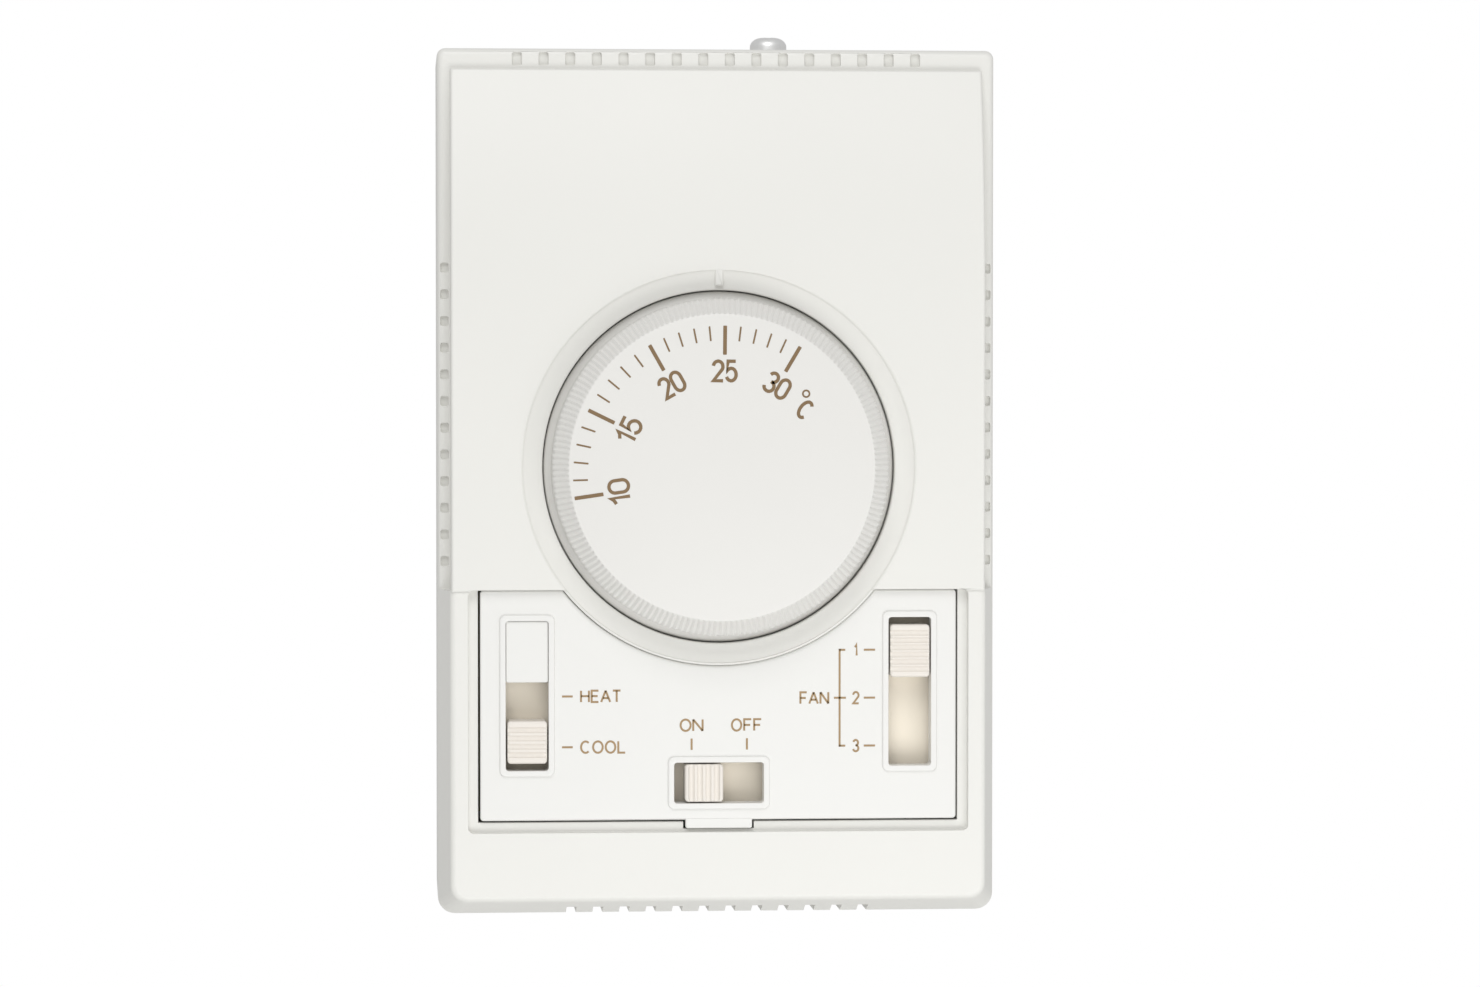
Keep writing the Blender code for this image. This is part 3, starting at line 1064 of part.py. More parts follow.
def jumper_wires():
    """From each snap switch tab over the top, down the left side and on to the board."""
    tab_end = SNAP_Z1 - 2.3 * MM + TAB_TERMINAL_L + GAP
    rows = ((1.9 * MM, 0.0, 4.5), (3.9 * MM, 0.0, 7.5), (2.9 * MM, 3.0 * MM, 10.5))
    for i, (x, (lift, forward, column)) in enumerate(zip(terminal_x(), rows), 1):
        side = -(BRIDGE_HALF_W + column * MM)
        depth = BELLOWS_DEPTH + forward
        top = tab_end + lift
        foot = BOARD_Z1
        turn = 2.5 * MM
        points = [(x, BELLOWS_DEPTH, tab_end), (x, BELLOWS_DEPTH + forward / 3, tab_end + lift * 0.6),
                  (x - turn, depth, top), (0, depth, top), (side + turn, depth, top),
                  (side, depth, top - turn), (side, depth, DIAL_Z + 20 * MM),
                  (side, depth, DIAL_Z), (side, depth, foot + 4 * MM),
                  (side, BOARD_FRONT + 3.0 * MM, foot + 0.6 * MM),
                  (side, BOARD_FRONT + 3.2 * MM, foot - 1.5 * MM),
                  (side, BOARD_FRONT + 1.8 * MM, foot - 3 * MM)]
        end = (side, BOARD_FRONT + GAP, foot - 3 * MM)
        wire = tube(f"jumper_wire_{i}", smooth_route(points) + [end], WIRE_R)
        finish(wire, material("wire_insulation", WIRE_RED, 0.45))


def bridge_screws():
    x = BRIDGE_HALF_W + BRIDGE_FOOT_L / 2
    for i, sign in enumerate((-1, 1), 1):
        slot_screw(f"bracket_screw_{i}", sign * x, DIAL_Z, BRIDGE_FOOT_DEPTH + SHEET_T, 6 * MM)


clear_scene()
PIECES = make_collection("wall_thermostat")
CUTTERS = make_collection("cutters")
WORKSHOP = make_collection("workshop")

front_cover()
rear_base_plate()
cover_screw()
cover_nut()
control_panel()
blanking_insert()
dial_knob()
cam_spindle()
spindle_bush()
spindle_clip()
mechanism_bracket()
bridge_screws()
cam_lever()
lever_pin()
lever_spring()
bellows()
snap_switch()
circuit_board()
board_parts()
for name, window, way, knob_l, travel, rest in slide_sets():
    slide_switch(name, way, travel, rest)
    slider(name, window, way, travel, rest)
    slide_knob(name, window, way, knob_l, rest)
terminal_block()
jumper_wires()
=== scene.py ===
"""Wall thermostat: the seen surfaces of every piece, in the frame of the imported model.

World frame: +X right as seen from the front, +Z up, the wall is the plane y = 0 and the front
faces -Y. A "depth" is the distance out from the wall, so it becomes y = -depth.
"""

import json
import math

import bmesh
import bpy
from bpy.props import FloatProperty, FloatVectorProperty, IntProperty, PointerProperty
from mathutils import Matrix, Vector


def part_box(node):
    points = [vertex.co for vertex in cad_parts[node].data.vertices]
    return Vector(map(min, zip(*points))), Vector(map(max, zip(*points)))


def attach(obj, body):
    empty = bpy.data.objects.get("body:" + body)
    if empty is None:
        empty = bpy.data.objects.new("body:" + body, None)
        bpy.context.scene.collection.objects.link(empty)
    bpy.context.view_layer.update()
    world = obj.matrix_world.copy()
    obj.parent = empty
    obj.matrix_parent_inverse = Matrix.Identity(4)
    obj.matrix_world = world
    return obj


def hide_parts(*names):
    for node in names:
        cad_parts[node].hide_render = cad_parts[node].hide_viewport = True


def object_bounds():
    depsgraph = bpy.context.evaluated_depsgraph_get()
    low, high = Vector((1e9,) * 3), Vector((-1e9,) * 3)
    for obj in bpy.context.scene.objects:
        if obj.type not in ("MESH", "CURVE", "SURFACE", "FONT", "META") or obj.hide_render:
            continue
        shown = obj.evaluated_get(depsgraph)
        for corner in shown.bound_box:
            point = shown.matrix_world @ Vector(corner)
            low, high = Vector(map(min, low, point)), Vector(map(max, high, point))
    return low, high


bl_info = {
    "name": "Wall Thermostat",
    "version": (1, 0, 0),
    "blender": (4, 5, 0),
    "location": "3D View > Sidebar > Thermostat",
    "description": "Builds the pieces of a fan-coil wall thermostat one by one",
    "category": "Add Mesh",
}

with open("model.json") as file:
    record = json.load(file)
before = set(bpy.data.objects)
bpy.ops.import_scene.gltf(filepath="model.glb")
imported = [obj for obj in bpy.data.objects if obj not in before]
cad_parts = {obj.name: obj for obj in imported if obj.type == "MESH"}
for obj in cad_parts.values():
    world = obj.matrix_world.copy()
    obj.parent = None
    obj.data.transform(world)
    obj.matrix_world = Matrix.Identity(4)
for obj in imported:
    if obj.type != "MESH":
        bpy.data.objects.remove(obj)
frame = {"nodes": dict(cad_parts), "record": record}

MM = 0.001
CAD_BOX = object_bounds()
COVER_LOW, COVER_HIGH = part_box("front_cover")
DIAL_LOW, DIAL_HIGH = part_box("dial_knob")
PANEL_LOW, PANEL_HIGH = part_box("control_panel")
SCREW_LOW, SCREW_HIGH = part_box("cover_screw")

HALF_W = (COVER_HIGH.x - COVER_LOW.x) / 2
HALF_H = (COVER_HIGH.z - COVER_LOW.z) / 2
DIAL_X = (DIAL_LOW.x + DIAL_HIGH.x) / 2
DIAL_Z = (DIAL_LOW.z + DIAL_HIGH.z) / 2
DIAL_FRONT = -DIAL_LOW.y
PLATE_FRONT = -COVER_LOW.y


def size(name, text, default, unit="LENGTH"):
    """A named size that shows in the sidebar, given in metres."""
    return FloatProperty(name=name, description=text, default=default, unit=unit, precision=5)


def colour(name, text, default):
    """A named surface colour that shows in the sidebar."""
    return FloatVectorProperty(name=name, description=text, default=default, subtype="COLOR",
                               size=3, min=0.0, max=1.0)


# ---------------------------------------------------------------- what a user would change
class CoverSizes(bpy.types.PropertyGroup):
    """Sizes of the front cover."""
    wall: size("Wall", "Thickness of the cover's sides and plate", 2.0 * MM)
    rim_depth: size("Rim depth", "From the wall to the strip round the raised plate", 24.5 * MM)
    lower_depth: size("Lower depth", "From the wall to the face round the controls", 30.0 * MM)
    plate_inset: size("Plate inset", "Width of the strip beside the plate", 2.0 * MM)
    top_inset: size("Top inset", "Width of the strip above the plate", 3.0 * MM)
    bottom_bevel: size("Bottom bevel", "How far the bottom leans in at the front", 2.4 * MM)
    shoulder_z: size("Shoulder height", "Height of the plate's lower edge", -16.4 * MM)
    crown_length: size("Crown length", "Part of the plate that curves back to the top", 35.0 * MM)
    crown_drop: size("Crown drop", "How far the plate curves back", 5.0 * MM)
    top_corner: size("Top corner", "Radius of the upper corners", 1.3 * MM)
    bottom_corner: size("Bottom corner", "Radius of the lower corners", 2.6 * MM)
    edge: size("Edge", "Radius of the plate's edges", 0.45 * MM)
    dish_width: size("Dish width", "Width of the sunk ring round the dial", 3.0 * MM)
    dish_sink: size("Dish sink", "Depth of the sunk ring", 0.9 * MM)
    opening_radius: size("Dial opening", "Radius of the hole for the dial", 26.4 * MM)
    index_width: size("Index width", "Width of the raised index mark", 1.2 * MM)
    recess_side: size("Recess side", "From the case edge to the recess", 4.5 * MM)
    recess_bottom: size("Recess bottom", "From the case bottom to the recess", 12.6 * MM)
    recess_sink: size("Recess sink", "From the lower face to the ledge", 1.4 * MM)
    recess_top: size("Recess top", "How far the recess runs up under the plate", 0.3 * MM)
    ledge: size("Ledge", "Width of the ledge round the panel", 1.5 * MM)
    vent_width: size("Vent width", "Width of a vent slot", 1.45 * MM)
    vent_pitch: size("Vent pitch", "From one slot to the next", 4.0 * MM)
    vent_reach: size("Vent reach", "How far a slot runs back", 0.8 * MM)
    notch_reach: size("Notch reach", "How far a bottom notch runs back", 8.5 * MM)
    vents_top: IntProperty(name="Top vents", description="Slots in the top strip", default=16)
    vents_side: IntProperty(name="Side vents", description="Slots in each side strip", default=12)
    vents_bottom: IntProperty(name="Bottom vents", description="Notches below", default=12)
    vents_side_z: size("Side vent height", "Middle of the side slots", 10.1 * MM)


class DialSizes(bpy.types.PropertyGroup):
    """Sizes of the temperature dial."""
    radius: size("Radius", "Radius of the dial's skirt", 25.0 * MM)
    face_radius: size("Face radius", "Radius of the flat face", 22.7 * MM)
    bevel: size("Bevel", "Height of the toothed bevel", 2.8 * MM)
    wall: size("Wall", "Thickness of the dial", 1.8 * MM)
    flange: size("Flange", "Thickness of the hidden flange", 1.2 * MM)
    flange_depth: size("Flange depth", "From the wall to the flange's back", 25.4 * MM)
    step_depth: size("Step depth", "From the wall to the step that fills the opening", 28.5 * MM)
    teeth: IntProperty(name="Teeth", description="Grip teeth round the bevel", default=180)
    tooth_height: size("Tooth height", "From valley to crest", 0.36 * MM)
    scale_radius: size("Scale radius", "Outer ends of the scale marks", 22.3 * MM)
    scale_drop: size("Scale drop", "How far the print sits below the axis", 1.3 * MM)
    numeral_radius: size("Numeral radius", "Middle of the numerals", 15.6 * MM)
    numeral_height: size("Numeral height", "Height of the numerals", 3.4 * MM)
    numeral_width: size("Numeral width", "Width of a pair of numerals", 3.95 * MM)
    numeral_line: size("Numeral line", "Width of the lines of a numeral", 0.50 * MM)


class PanelSizes(bpy.types.PropertyGroup):
    """Sizes of the control panel and its knobs."""
    window_radius: size("Window corner", "Corner radius of a window", 0.45 * MM)
    frame_width: size("Frame width", "Raised frame round a window", 0.9 * MM)
    frame_height: size("Frame height", "How far the frame stands up", 0.4 * MM)
    half_width: size("Half width", "From the middle to the panel's side, at most", 35.7 * MM)
    low_edge: size("Low edge", "Height of the panel's lower edge", -50.6 * MM)
    face_depth: size("Face depth", "From the wall to the panel's face", 29.4 * MM)
    thickness: size("Thickness", "Thickness of the panel", 3.1 * MM)
    tab_width: size("Tab width", "Width of the tab below", 10.0 * MM)
    dial_gap: size("Dial gap", "Between the panel and the dial's ring", 0.08 * MM)
    letter_height: size("Letter height", "Height of the capitals", 2.0 * MM)
    ridge_radius: size("Ridge radius", "Radius of the valleys in a knob", 0.42 * MM)


class Finishes(bpy.types.PropertyGroup):
    """Colours of the finishes."""
    cover: colour("Cover", "Off-white moulded cover", (0.800, 0.795, 0.760))
    panel: colour("Panel", "Control panel", (0.815, 0.812, 0.788))
    dial: colour("Dial", "Dial plastic", (0.775, 0.766, 0.738))
    knob: colour("Knobs", "Cream slide knobs", (0.820, 0.775, 0.715))
    slider: colour("Sliders", "Tan slider floors", (0.950, 0.875, 0.745))
    base: colour("Base", "Rear base plate", (0.760, 0.750, 0.705))
    scale_print: colour("Dial print", "Brown print on the dial", (0.235, 0.150, 0.072))
    panel_print: colour("Panel print", "Tan print on the panel", (0.400, 0.270, 0.140))


# ---------------------------------------------------------------- modelling steps
def activate(piece):
    """Selects one object alone."""
    if bpy.context.mode != "OBJECT":
        bpy.ops.object.mode_set(mode="OBJECT")
    bpy.ops.object.select_all(action="DESELECT")
    piece.select_set(True)
    bpy.context.view_layer.objects.active = piece
    return piece


def apply_place(piece):
    """Moves an object's place, turn and scale into its mesh."""
    activate(piece)
    bpy.ops.object.transform_apply(location=True, rotation=True, scale=True)
    return piece


def pick(piece, kind, test):
    """In edit mode, selects just the vertices, edges or faces that pass a test."""
    bpy.ops.mesh.select_mode(type=kind)
    bpy.ops.mesh.select_all(action="DESELECT")
    shape = bmesh.from_edit_mesh(piece.data)
    parts = {"VERT": shape.verts, "EDGE": shape.edges, "FACE": shape.faces}[kind]
    for part in parts:
        if test(part):
            part.select_set(True)
    bmesh.update_edit_mesh(piece.data)


def middle(edge):
    """Middle of an edge."""
    return (edge.verts[0].co + edge.verts[1].co) / 2


def along(edge, axis, share=0.99):
    """True if an edge runs along X, Y or Z."""
    way = edge.verts[1].co - edge.verts[0].co
    return way.length > 0 and abs(way[axis]) / way.length > share


def round_edges(piece, test, radius, steps=4):
    """Rounds the edges that pass a test."""
    activate(piece)
    bpy.ops.object.mode_set(mode="EDIT")
    pick(piece, "EDGE", test)
    bpy.ops.mesh.bevel(offset=radius, segments=steps, profile=0.5, affect="EDGES")
    bpy.ops.object.mode_set(mode="OBJECT")
    return piece


def block(name, x, z, depth, corner=0.0, steps=4):
    """A rectangular block between two values of X, Z and depth, with rounded upright corners."""
    bpy.ops.object.select_all(action="DESELECT")
    bpy.ops.mesh.primitive_cube_add(
        size=1, location=((x[0] + x[1]) / 2, -(depth[0] + depth[1]) / 2, (z[0] + z[1]) / 2))
    piece = bpy.context.object
    piece.name = piece.data.name = name
    piece.scale = (x[1] - x[0], depth[1] - depth[0], z[1] - z[0])
    apply_place(piece)
    if corner > 0:
        round_edges(piece, lambda e: along(e, 1), corner, steps)
    return piece


def soften_front(piece, depth, radius, steps=4):
    """Rounds the outline of a block's front face."""
    def on_front(edge):
        return all(abs(v.co.y + depth) < 1e-6 for v in edge.verts)
    return round_edges(piece, on_front, radius, steps)


def turned(name, x, z, steps, sides=128):
    """A solid turned about an axis along Y, grown from its first face through (radius, depth)."""
    radius, depth = steps[0]
    bpy.ops.object.select_all(action="DESELECT")
    bpy.ops.mesh.primitive_circle_add(vertices=sides, radius=radius, fill_type="NGON",
                                      location=(x, -depth, z), rotation=(math.pi / 2, 0, 0))
    piece = bpy.context.object
    piece.name = piece.data.name = name
    apply_place(piece)
    bpy.ops.object.mode_set(mode="EDIT")
    bpy.ops.mesh.select_mode(type="FACE")
    bpy.ops.mesh.select_all(action="SELECT")
    for next_radius, next_depth in steps[1:]:
        bpy.ops.mesh.extrude_region_move(
            TRANSFORM_OT_translate={"value": (0, depth - next_depth, 0)})
        share = next_radius / radius
        if abs(share - 1) > 1e-9:
            bpy.ops.transform.resize(value=(share, 1, share), center_override=(x, -next_depth, z))
        radius, depth = next_radius, next_depth
    bpy.ops.mesh.select_all(action="SELECT")
    bpy.ops.mesh.normals_make_consistent(inside=False)
    bpy.ops.object.mode_set(mode="OBJECT")
    return piece


def clean(piece, distance, degenerate=False, outwards=False, concave=False):
    """Merges doubles and, if asked, clears slivers, turns faces out and splits hollow faces."""
    activate(piece)
    bpy.ops.object.mode_set(mode="EDIT")
    bpy.ops.mesh.select_all(action="SELECT")
    bpy.ops.mesh.remove_doubles(threshold=distance)
    if degenerate:
        bpy.ops.mesh.dissolve_degenerate(threshold=distance)
    if outwards:
        bpy.ops.mesh.normals_make_consistent(inside=False)
    if concave:
        bpy.ops.mesh.select_all(action="SELECT")
        bpy.ops.mesh.vert_connect_concave()
    bpy.ops.object.mode_set(mode="OBJECT")
    return piece


def cut(piece, *others):
    """Cuts pieces out of a piece, one after the other."""
    for other in others:
        boolean(piece, other, "DIFFERENCE")
    return piece


def boolean(piece, other, operation):
    """Joins or cuts a piece with another one, which is used up."""
    activate(piece)
    step = piece.modifiers.new(operation.title(), "BOOLEAN")
    step.operation, step.object, step.solver = operation, other, "EXACT"
    bpy.ops.object.modifier_apply(modifier=step.name)
    bpy.data.meshes.remove(other.data)
    return clean(piece, 0.0015 * MM, degenerate=True)


def joined(name, pieces):
    """One object out of several."""
    activate(pieces[0])
    for piece in pieces:
        piece.select_set(True)
    if len(pieces) > 1:
        bpy.ops.object.join()
    pieces[0].name = pieces[0].data.name = name
    return pieces[0]


def tidy_normals(piece):
    """Merges doubles and turns every face outwards."""
    return clean(piece, 0.002 * MM, outwards=True)


def ease(piece, width, limit=42.0, overlap=False):
    """Rounds every sharp edge a little, and clears the slivers that this leaves."""
    activate(piece)
    step = piece.modifiers.new("Fine edges", "BEVEL")
    step.width, step.segments, step.limit_method = width, 2, "ANGLE"
    step.angle_limit, step.use_clamp_overlap = math.radians(limit), overlap
    bpy.ops.object.modifier_apply(modifier=step.name)
    return clean(piece, 0.003 * MM, degenerate=True, concave=True)


def sound_normals(piece):
    """True if every shading normal is a unit vector near its own face's."""
    normals = piece.data.corner_normals
    return all(normals[i].vector.dot(face.normal) > 0.2
               for face in piece.data.polygons for i in face.loop_indices)


def smooth(piece, angle=35.0, weighted=True):
    """Smooth shading that keeps crisp edges and flat faces."""
    activate(piece)
    bpy.ops.object.shade_smooth_by_angle(angle=math.radians(angle))
    if weighted:
        step = piece.modifiers.new("Flat faces", "WEIGHTED_NORMAL")
        step.keep_sharp, step.weight = True, 80
        bpy.ops.object.modifier_apply(modifier=step.name)
        if not sound_normals(piece):
            bpy.ops.mesh.customdata_custom_splitnormals_clear()
            bpy.ops.object.shade_smooth_by_angle(angle=math.radians(14))
    return piece


def fit(piece, body, slot, look, *nodes):
    """Gives a piece its finish and the body it moves with, and hides the CAD nodes it stands for.
    """
    piece.data.materials.clear()
    piece.data.materials.append(look)
    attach(piece, body)
    if nodes:
        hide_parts(*nodes)
    return piece


def arc(x, z, across, up, start, end, count=14):
    """Points on an ellipse between two angles, measured from the right, upwards."""
    angles = [math.radians(start + (end - start) * i / count) for i in range(count + 1)]
    return [(x + across * math.cos(a), z + up * math.sin(a)) for a in angles]


# Each sign: its width for a height of 1, and its lines in a square from 0 to 1.
OVAL = arc(0.5, 0.7, 0.5, 0.3, 0, 180) + arc(0.5, 0.3, 0.5, 0.3, 180, 360) + [(1, 0.7)]
SIGNS = {
    "0": (0.52, [OVAL]),
    "1": (0.30, [[(0.0, 0.74), (0.55, 0.84), (0.85, 1.0), (0.85, 0.0)]]),
    "2": (0.52, [arc(0.5, 0.72, 0.48, 0.28, 172, -28) + [(0.04, 0.0), (1.0, 0.0)]]),
    "3": (0.52, [arc(0.48, 0.76, 0.44, 0.24, 165, -84), arc(0.48, 0.26, 0.5, 0.26, 97, -165)]),
    "5": (0.52, [[(0.92, 1.0), (0.16, 1.0), (0.08, 0.5)] + arc(0.48, 0.32, 0.5, 0.32, 132, -158)]),
    "A": (0.66, [[(0.0, 0.0), (0.5, 1.0)], [(0.5, 1.0), (1.0, 0.0)], [(0.2, 0.34), (0.8, 0.34)]]),
    "C": (0.60, [arc(0.5, 0.5, 0.5, 0.5, 48, 312, 22)]),
    "E": (0.50, [[(1.0, 1.0), (0.0, 1.0), (0.0, 0.0), (1.0, 0.0)], [(0.0, 0.52), (0.88, 0.52)]]),
    "F": (0.48, [[(1.0, 1.0), (0.0, 1.0), (0.0, 0.0)], [(0.0, 0.5), (0.85, 0.5)]]),
    "H": (0.58, [[(0.0, 0.0), (0.0, 1.0)], [(1.0, 0.0), (1.0, 1.0)], [(0.0, 0.52), (1.0, 0.52)]]),
    "L": (0.46, [[(0.0, 1.0), (0.0, 0.0), (1.0, 0.0)]]),
    "N": (0.60, [[(0.0, 0.0), (0.0, 1.0)], [(0.0, 1.0), (1.0, 0.0)], [(1.0, 0.0), (1.0, 1.0)]]),
    "O": (0.64, [arc(0.5, 0.5, 0.5, 0.5, 0, 360, 28)]),
    "T": (0.56, [[(0.0, 1.0), (1.0, 1.0)], [(0.5, 1.0), (0.5, 0.0)]]),
}


def stroke(points, width):
    """Both sides of a line of one width, with mitred corners, as pairs of points."""
    closed = (Vector(points[0]) - Vector(points[-1])).length < 1e-9
    spots = [Vector(p) for p in points]
    rows = []
    for i, here in enumerate(spots):
        before = spots[i - 1] if i else (spots[-2] if closed else None)
        after = spots[i + 1] if i + 1 < len(spots) else (spots[1] if closed else None)
        ways = [w.normalized() for w in (here - before if before else None,
                                         after - here if after else None) if w is not None]
        way = sum(ways, Vector((0, 0))).normalized()
        side = Vector((-way.y, way.x)) * width / 2 / max(0.5, abs(way.dot(ways[0])))
        rows.append((here + side, here - side))
    return rows


def lettering(name, words, height, place, width=None, angle=0.0, line=0.30 * MM,
              thickness=0.03 * MM):
    """Plain capitals or numerals of one line width, centred at (x, z) on a face at a depth."""
    x, z, depth = place
    gap = 0.2 if len(words) > 2 else 0.17
    natural = sum(SIGNS[w][0] for w in words) + gap * (len(words) - 1)
    tall = height - line
    wide = tall if width is None else (width - line) / natural
    shape, at = bmesh.new(), -natural / 2
    for letter in words:
        share, lines = SIGNS[letter]
        for points in lines:
            places = [((at + share * u) * wide, (v - 0.5) * tall) for u, v in points]
            rows = [[shape.verts.new((p.x, 0, p.y)) for p in row] for row in stroke(places, line)]
            for a, b in zip(rows, rows[1:]):
                shape.faces.new((a[0], b[0], b[1], a[1]))
        at += share + gap
    data = bpy.data.meshes.new(name)
    shape.to_mesh(data)
    shape.free()
    piece = bpy.data.objects.new(name, data)
    bpy.context.scene.collection.objects.link(piece)
    clean(piece, 0.0001 * MM)
    step = piece.modifiers.new("Ink", "SOLIDIFY")
    step.thickness, step.offset = thickness, 0.0
    bpy.ops.object.modifier_apply(modifier=step.name)
    tidy_normals(piece)
    piece.rotation_euler = (0, math.radians(angle), 0)
    piece.location = (x, -depth, z)
    return apply_place(piece)


def mark(name, x, z, depth, thickness=0.03 * MM):
    """A printed bar between two values of X and Z."""
    return block(name, x, z, (depth - thickness / 2, depth + thickness / 2))


# ---------------------------------------------------------------- finishes
def new_group(name, inputs, outputs):
    """An empty shader node group with named sockets."""
    group = bpy.data.node_groups.new(name, "ShaderNodeTree")
    for title, default in inputs:
        socket = group.interface.new_socket(title, in_out="INPUT", socket_type="NodeSocketFloat")
        socket.default_value = default
    for title in outputs:
        group.interface.new_socket(title, in_out="OUTPUT", socket_type="NodeSocketFloat")
    enter = group.nodes.new("NodeGroupInput")
    leave = group.nodes.new("NodeGroupOutput")
    return group, enter, leave


def maths(tree, operation, first, second, third=None):
    """One step of arithmetic between sockets or numbers."""
    node = tree.nodes.new("ShaderNodeMath")
    node.operation = operation
    for socket, value in zip(node.inputs, (first, second, third)):
        if isinstance(value, (int, float)):
            socket.default_value = value
        elif value is not None:
            tree.links.new(value, socket)
    return node.outputs[0]


def noise(tree, scale, detail, place, rough=0.5):
    """A noise pattern on a place, with a scale that is a number or a socket."""
    node = tree.nodes.new("ShaderNodeTexNoise")
    node.inputs["Detail"].default_value = detail
    node.inputs["Roughness"].default_value = rough
    if isinstance(scale, (int, float)):
        node.inputs["Scale"].default_value = scale
    else:
        tree.links.new(scale, node.inputs["Scale"])
    tree.links.new(place, node.inputs["Vector"])
    return node.outputs["Fac"]


def stretched(tree, stretch):
    """Object coordinates, stretched along an axis."""
    where = tree.nodes.new("ShaderNodeTexCoord")
    mapping = tree.nodes.new("ShaderNodeMapping")
    mapping.inputs["Scale"].default_value = stretch
    tree.links.new(where.outputs["Object"], mapping.inputs["Vector"])
    return mapping.outputs["Vector"]


def moulded_skin():
    """Fine spark-eroded grain over slow unevenness, for every moulded plastic."""
    group, enter, leave = new_group(
        "Moulded skin", [("Grain Scale", 2600.0), ("Patch Scale", 26.0)],
        ["Height", "Patches", "Gloss"])
    place = stretched(group, (1, 1, 1))
    fine = noise(group, enter.outputs["Grain Scale"], 3.0, place, 0.6)
    slow = noise(group, enter.outputs["Patch Scale"], 2.0, place)
    half = maths(group, "MULTIPLY", enter.outputs["Grain Scale"], 0.11)
    orange = noise(group, half, 1.0, place)
    height = maths(group, "MULTIPLY_ADD", orange, 0.6, fine)
    group.links.new(height, leave.inputs["Height"])
    group.links.new(slow, leave.inputs["Patches"])
    group.links.new(maths(group, "MULTIPLY_ADD", fine, 0.4, maths(group, "MULTIPLY", slow, 0.6)),
                    leave.inputs["Gloss"])
    return group


def worked_metal():
    """Drawing lines, fine scratches and dull spots, for every metal."""
    group, enter, leave = new_group("Worked metal", [("Line Scale", 900.0), ("Spot Scale", 240.0)],
                                    ["Height", "Tone", "Wear"])
    lines = noise(group, enter.outputs["Line Scale"], 4.0, stretched(group, (1, 1, 0.04)), 0.7)
    spots = noise(group, enter.outputs["Spot Scale"], 3.0, stretched(group, (1, 1, 1)), 0.6)
    group.links.new(maths(group, "MULTIPLY_ADD", lines, 0.7, spots), leave.inputs["Height"])
    group.links.new(spots, leave.inputs["Tone"])
    worn = group.nodes.new("ShaderNodeMapRange")
    worn.inputs["From Min"].default_value, worn.inputs["From Max"].default_value = 0.45, 0.7
    group.links.new(maths(group, "MULTIPLY", lines, maths(group, "ADD", spots, 0.5)),
                    worn.inputs["Value"])
    group.links.new(worn.outputs[0], leave.inputs["Wear"])
    return group


def woven_glass():
    """The faint weave of a glass-fibre laminate under its lacquer."""
    group, enter, leave = new_group("Woven glass", [("Thread Scale", 900.0)], ["Height", "Weave"])
    threads = []
    for way in ("X", "Z"):
        wave = group.nodes.new("ShaderNodeTexWave")
        wave.bands_direction = way
        wave.inputs["Distortion"].default_value = 0.6
        group.links.new(enter.outputs["Thread Scale"], wave.inputs["Scale"])
        group.links.new(stretched(group, (1, 1, 1)), wave.inputs["Vector"])
        threads.append(wave.outputs["Fac"])
    weave = maths(group, "MULTIPLY", *threads)
    group.links.new(weave, leave.inputs["Height"])
    group.links.new(weave, leave.inputs["Weave"])
    return group


def group_node(tree, group, values):
    """One use of a shared effect with its own values."""
    node = tree.nodes.new("ShaderNodeGroup")
    node.node_tree = group
    for title, value in values.items():
        node.inputs[title].default_value = value
    return node


def spread(tree, factor, low, high):
    """A factor spread between two numbers."""
    node = tree.nodes.new("ShaderNodeMapRange")
    node.inputs["To Min"].default_value, node.inputs["To Max"].default_value = low, high
    tree.links.new(factor, node.inputs["Value"])
    return node.outputs[0]


def two_tone(tree, factor, first, second):
    """A mix of two colours."""
    node = tree.nodes.new("ShaderNodeMix")
    node.data_type = "RGBA"
    tree.links.new(factor, node.inputs["Factor"])
    node.inputs[6].default_value, node.inputs[7].default_value = (*first, 1), (*second, 1)
    return node.outputs[2]


def new_look(name):
    """A new material with its tree, shader and bump node."""
    look = bpy.data.materials.new(name)
    look.use_nodes = True
    tree = look.node_tree
    shader = tree.nodes["Principled BSDF"]
    bump = tree.nodes.new("ShaderNodeBump")
    tree.links.new(bump.outputs["Normal"], shader.inputs["Normal"])
    return look, tree, shader, bump


def plastic(name, tint, shade, rough, grain=2600.0, bump_mm=0.004, patch=26.0, coat=0.0):
    """A moulded plastic between two close tones of one colour."""
    look, tree, shader, bump = new_look(name)
    skin = group_node(tree, GROUPS["skin"], {"Grain Scale": grain, "Patch Scale": patch})
    tree.links.new(two_tone(tree, skin.outputs["Patches"], tint, shade),
                   shader.inputs["Base Color"])
    tree.links.new(spread(tree, skin.outputs["Gloss"], rough - 0.07, rough + 0.07),
                   shader.inputs["Roughness"])
    tree.links.new(skin.outputs["Height"], bump.inputs["Height"])
    bump.inputs["Strength"].default_value = 0.35
    bump.inputs["Distance"].default_value = bump_mm * MM
    shader.inputs["IOR"].default_value = 1.5
    shader.inputs["Coat Weight"].default_value = coat
    return look


def metal(name, bright, dull, rough, lines=900.0, bump_mm=0.006):
    """A drawn or plated metal with worn and dull places."""
    look, tree, shader, bump = new_look(name)
    work = group_node(tree, GROUPS["metal"], {"Line Scale": lines, "Spot Scale": lines * 0.3})
    tree.links.new(two_tone(tree, work.outputs["Tone"], dull, bright), shader.inputs["Base Color"])
    tree.links.new(spread(tree, work.outputs["Wear"], rough + 0.1, rough - 0.08),
                   shader.inputs["Roughness"])
    tree.links.new(work.outputs["Height"], bump.inputs["Height"])
    bump.inputs["Strength"].default_value = 0.4
    bump.inputs["Distance"].default_value = bump_mm * MM
    shader.inputs["Metallic"].default_value = 1.0
    return look


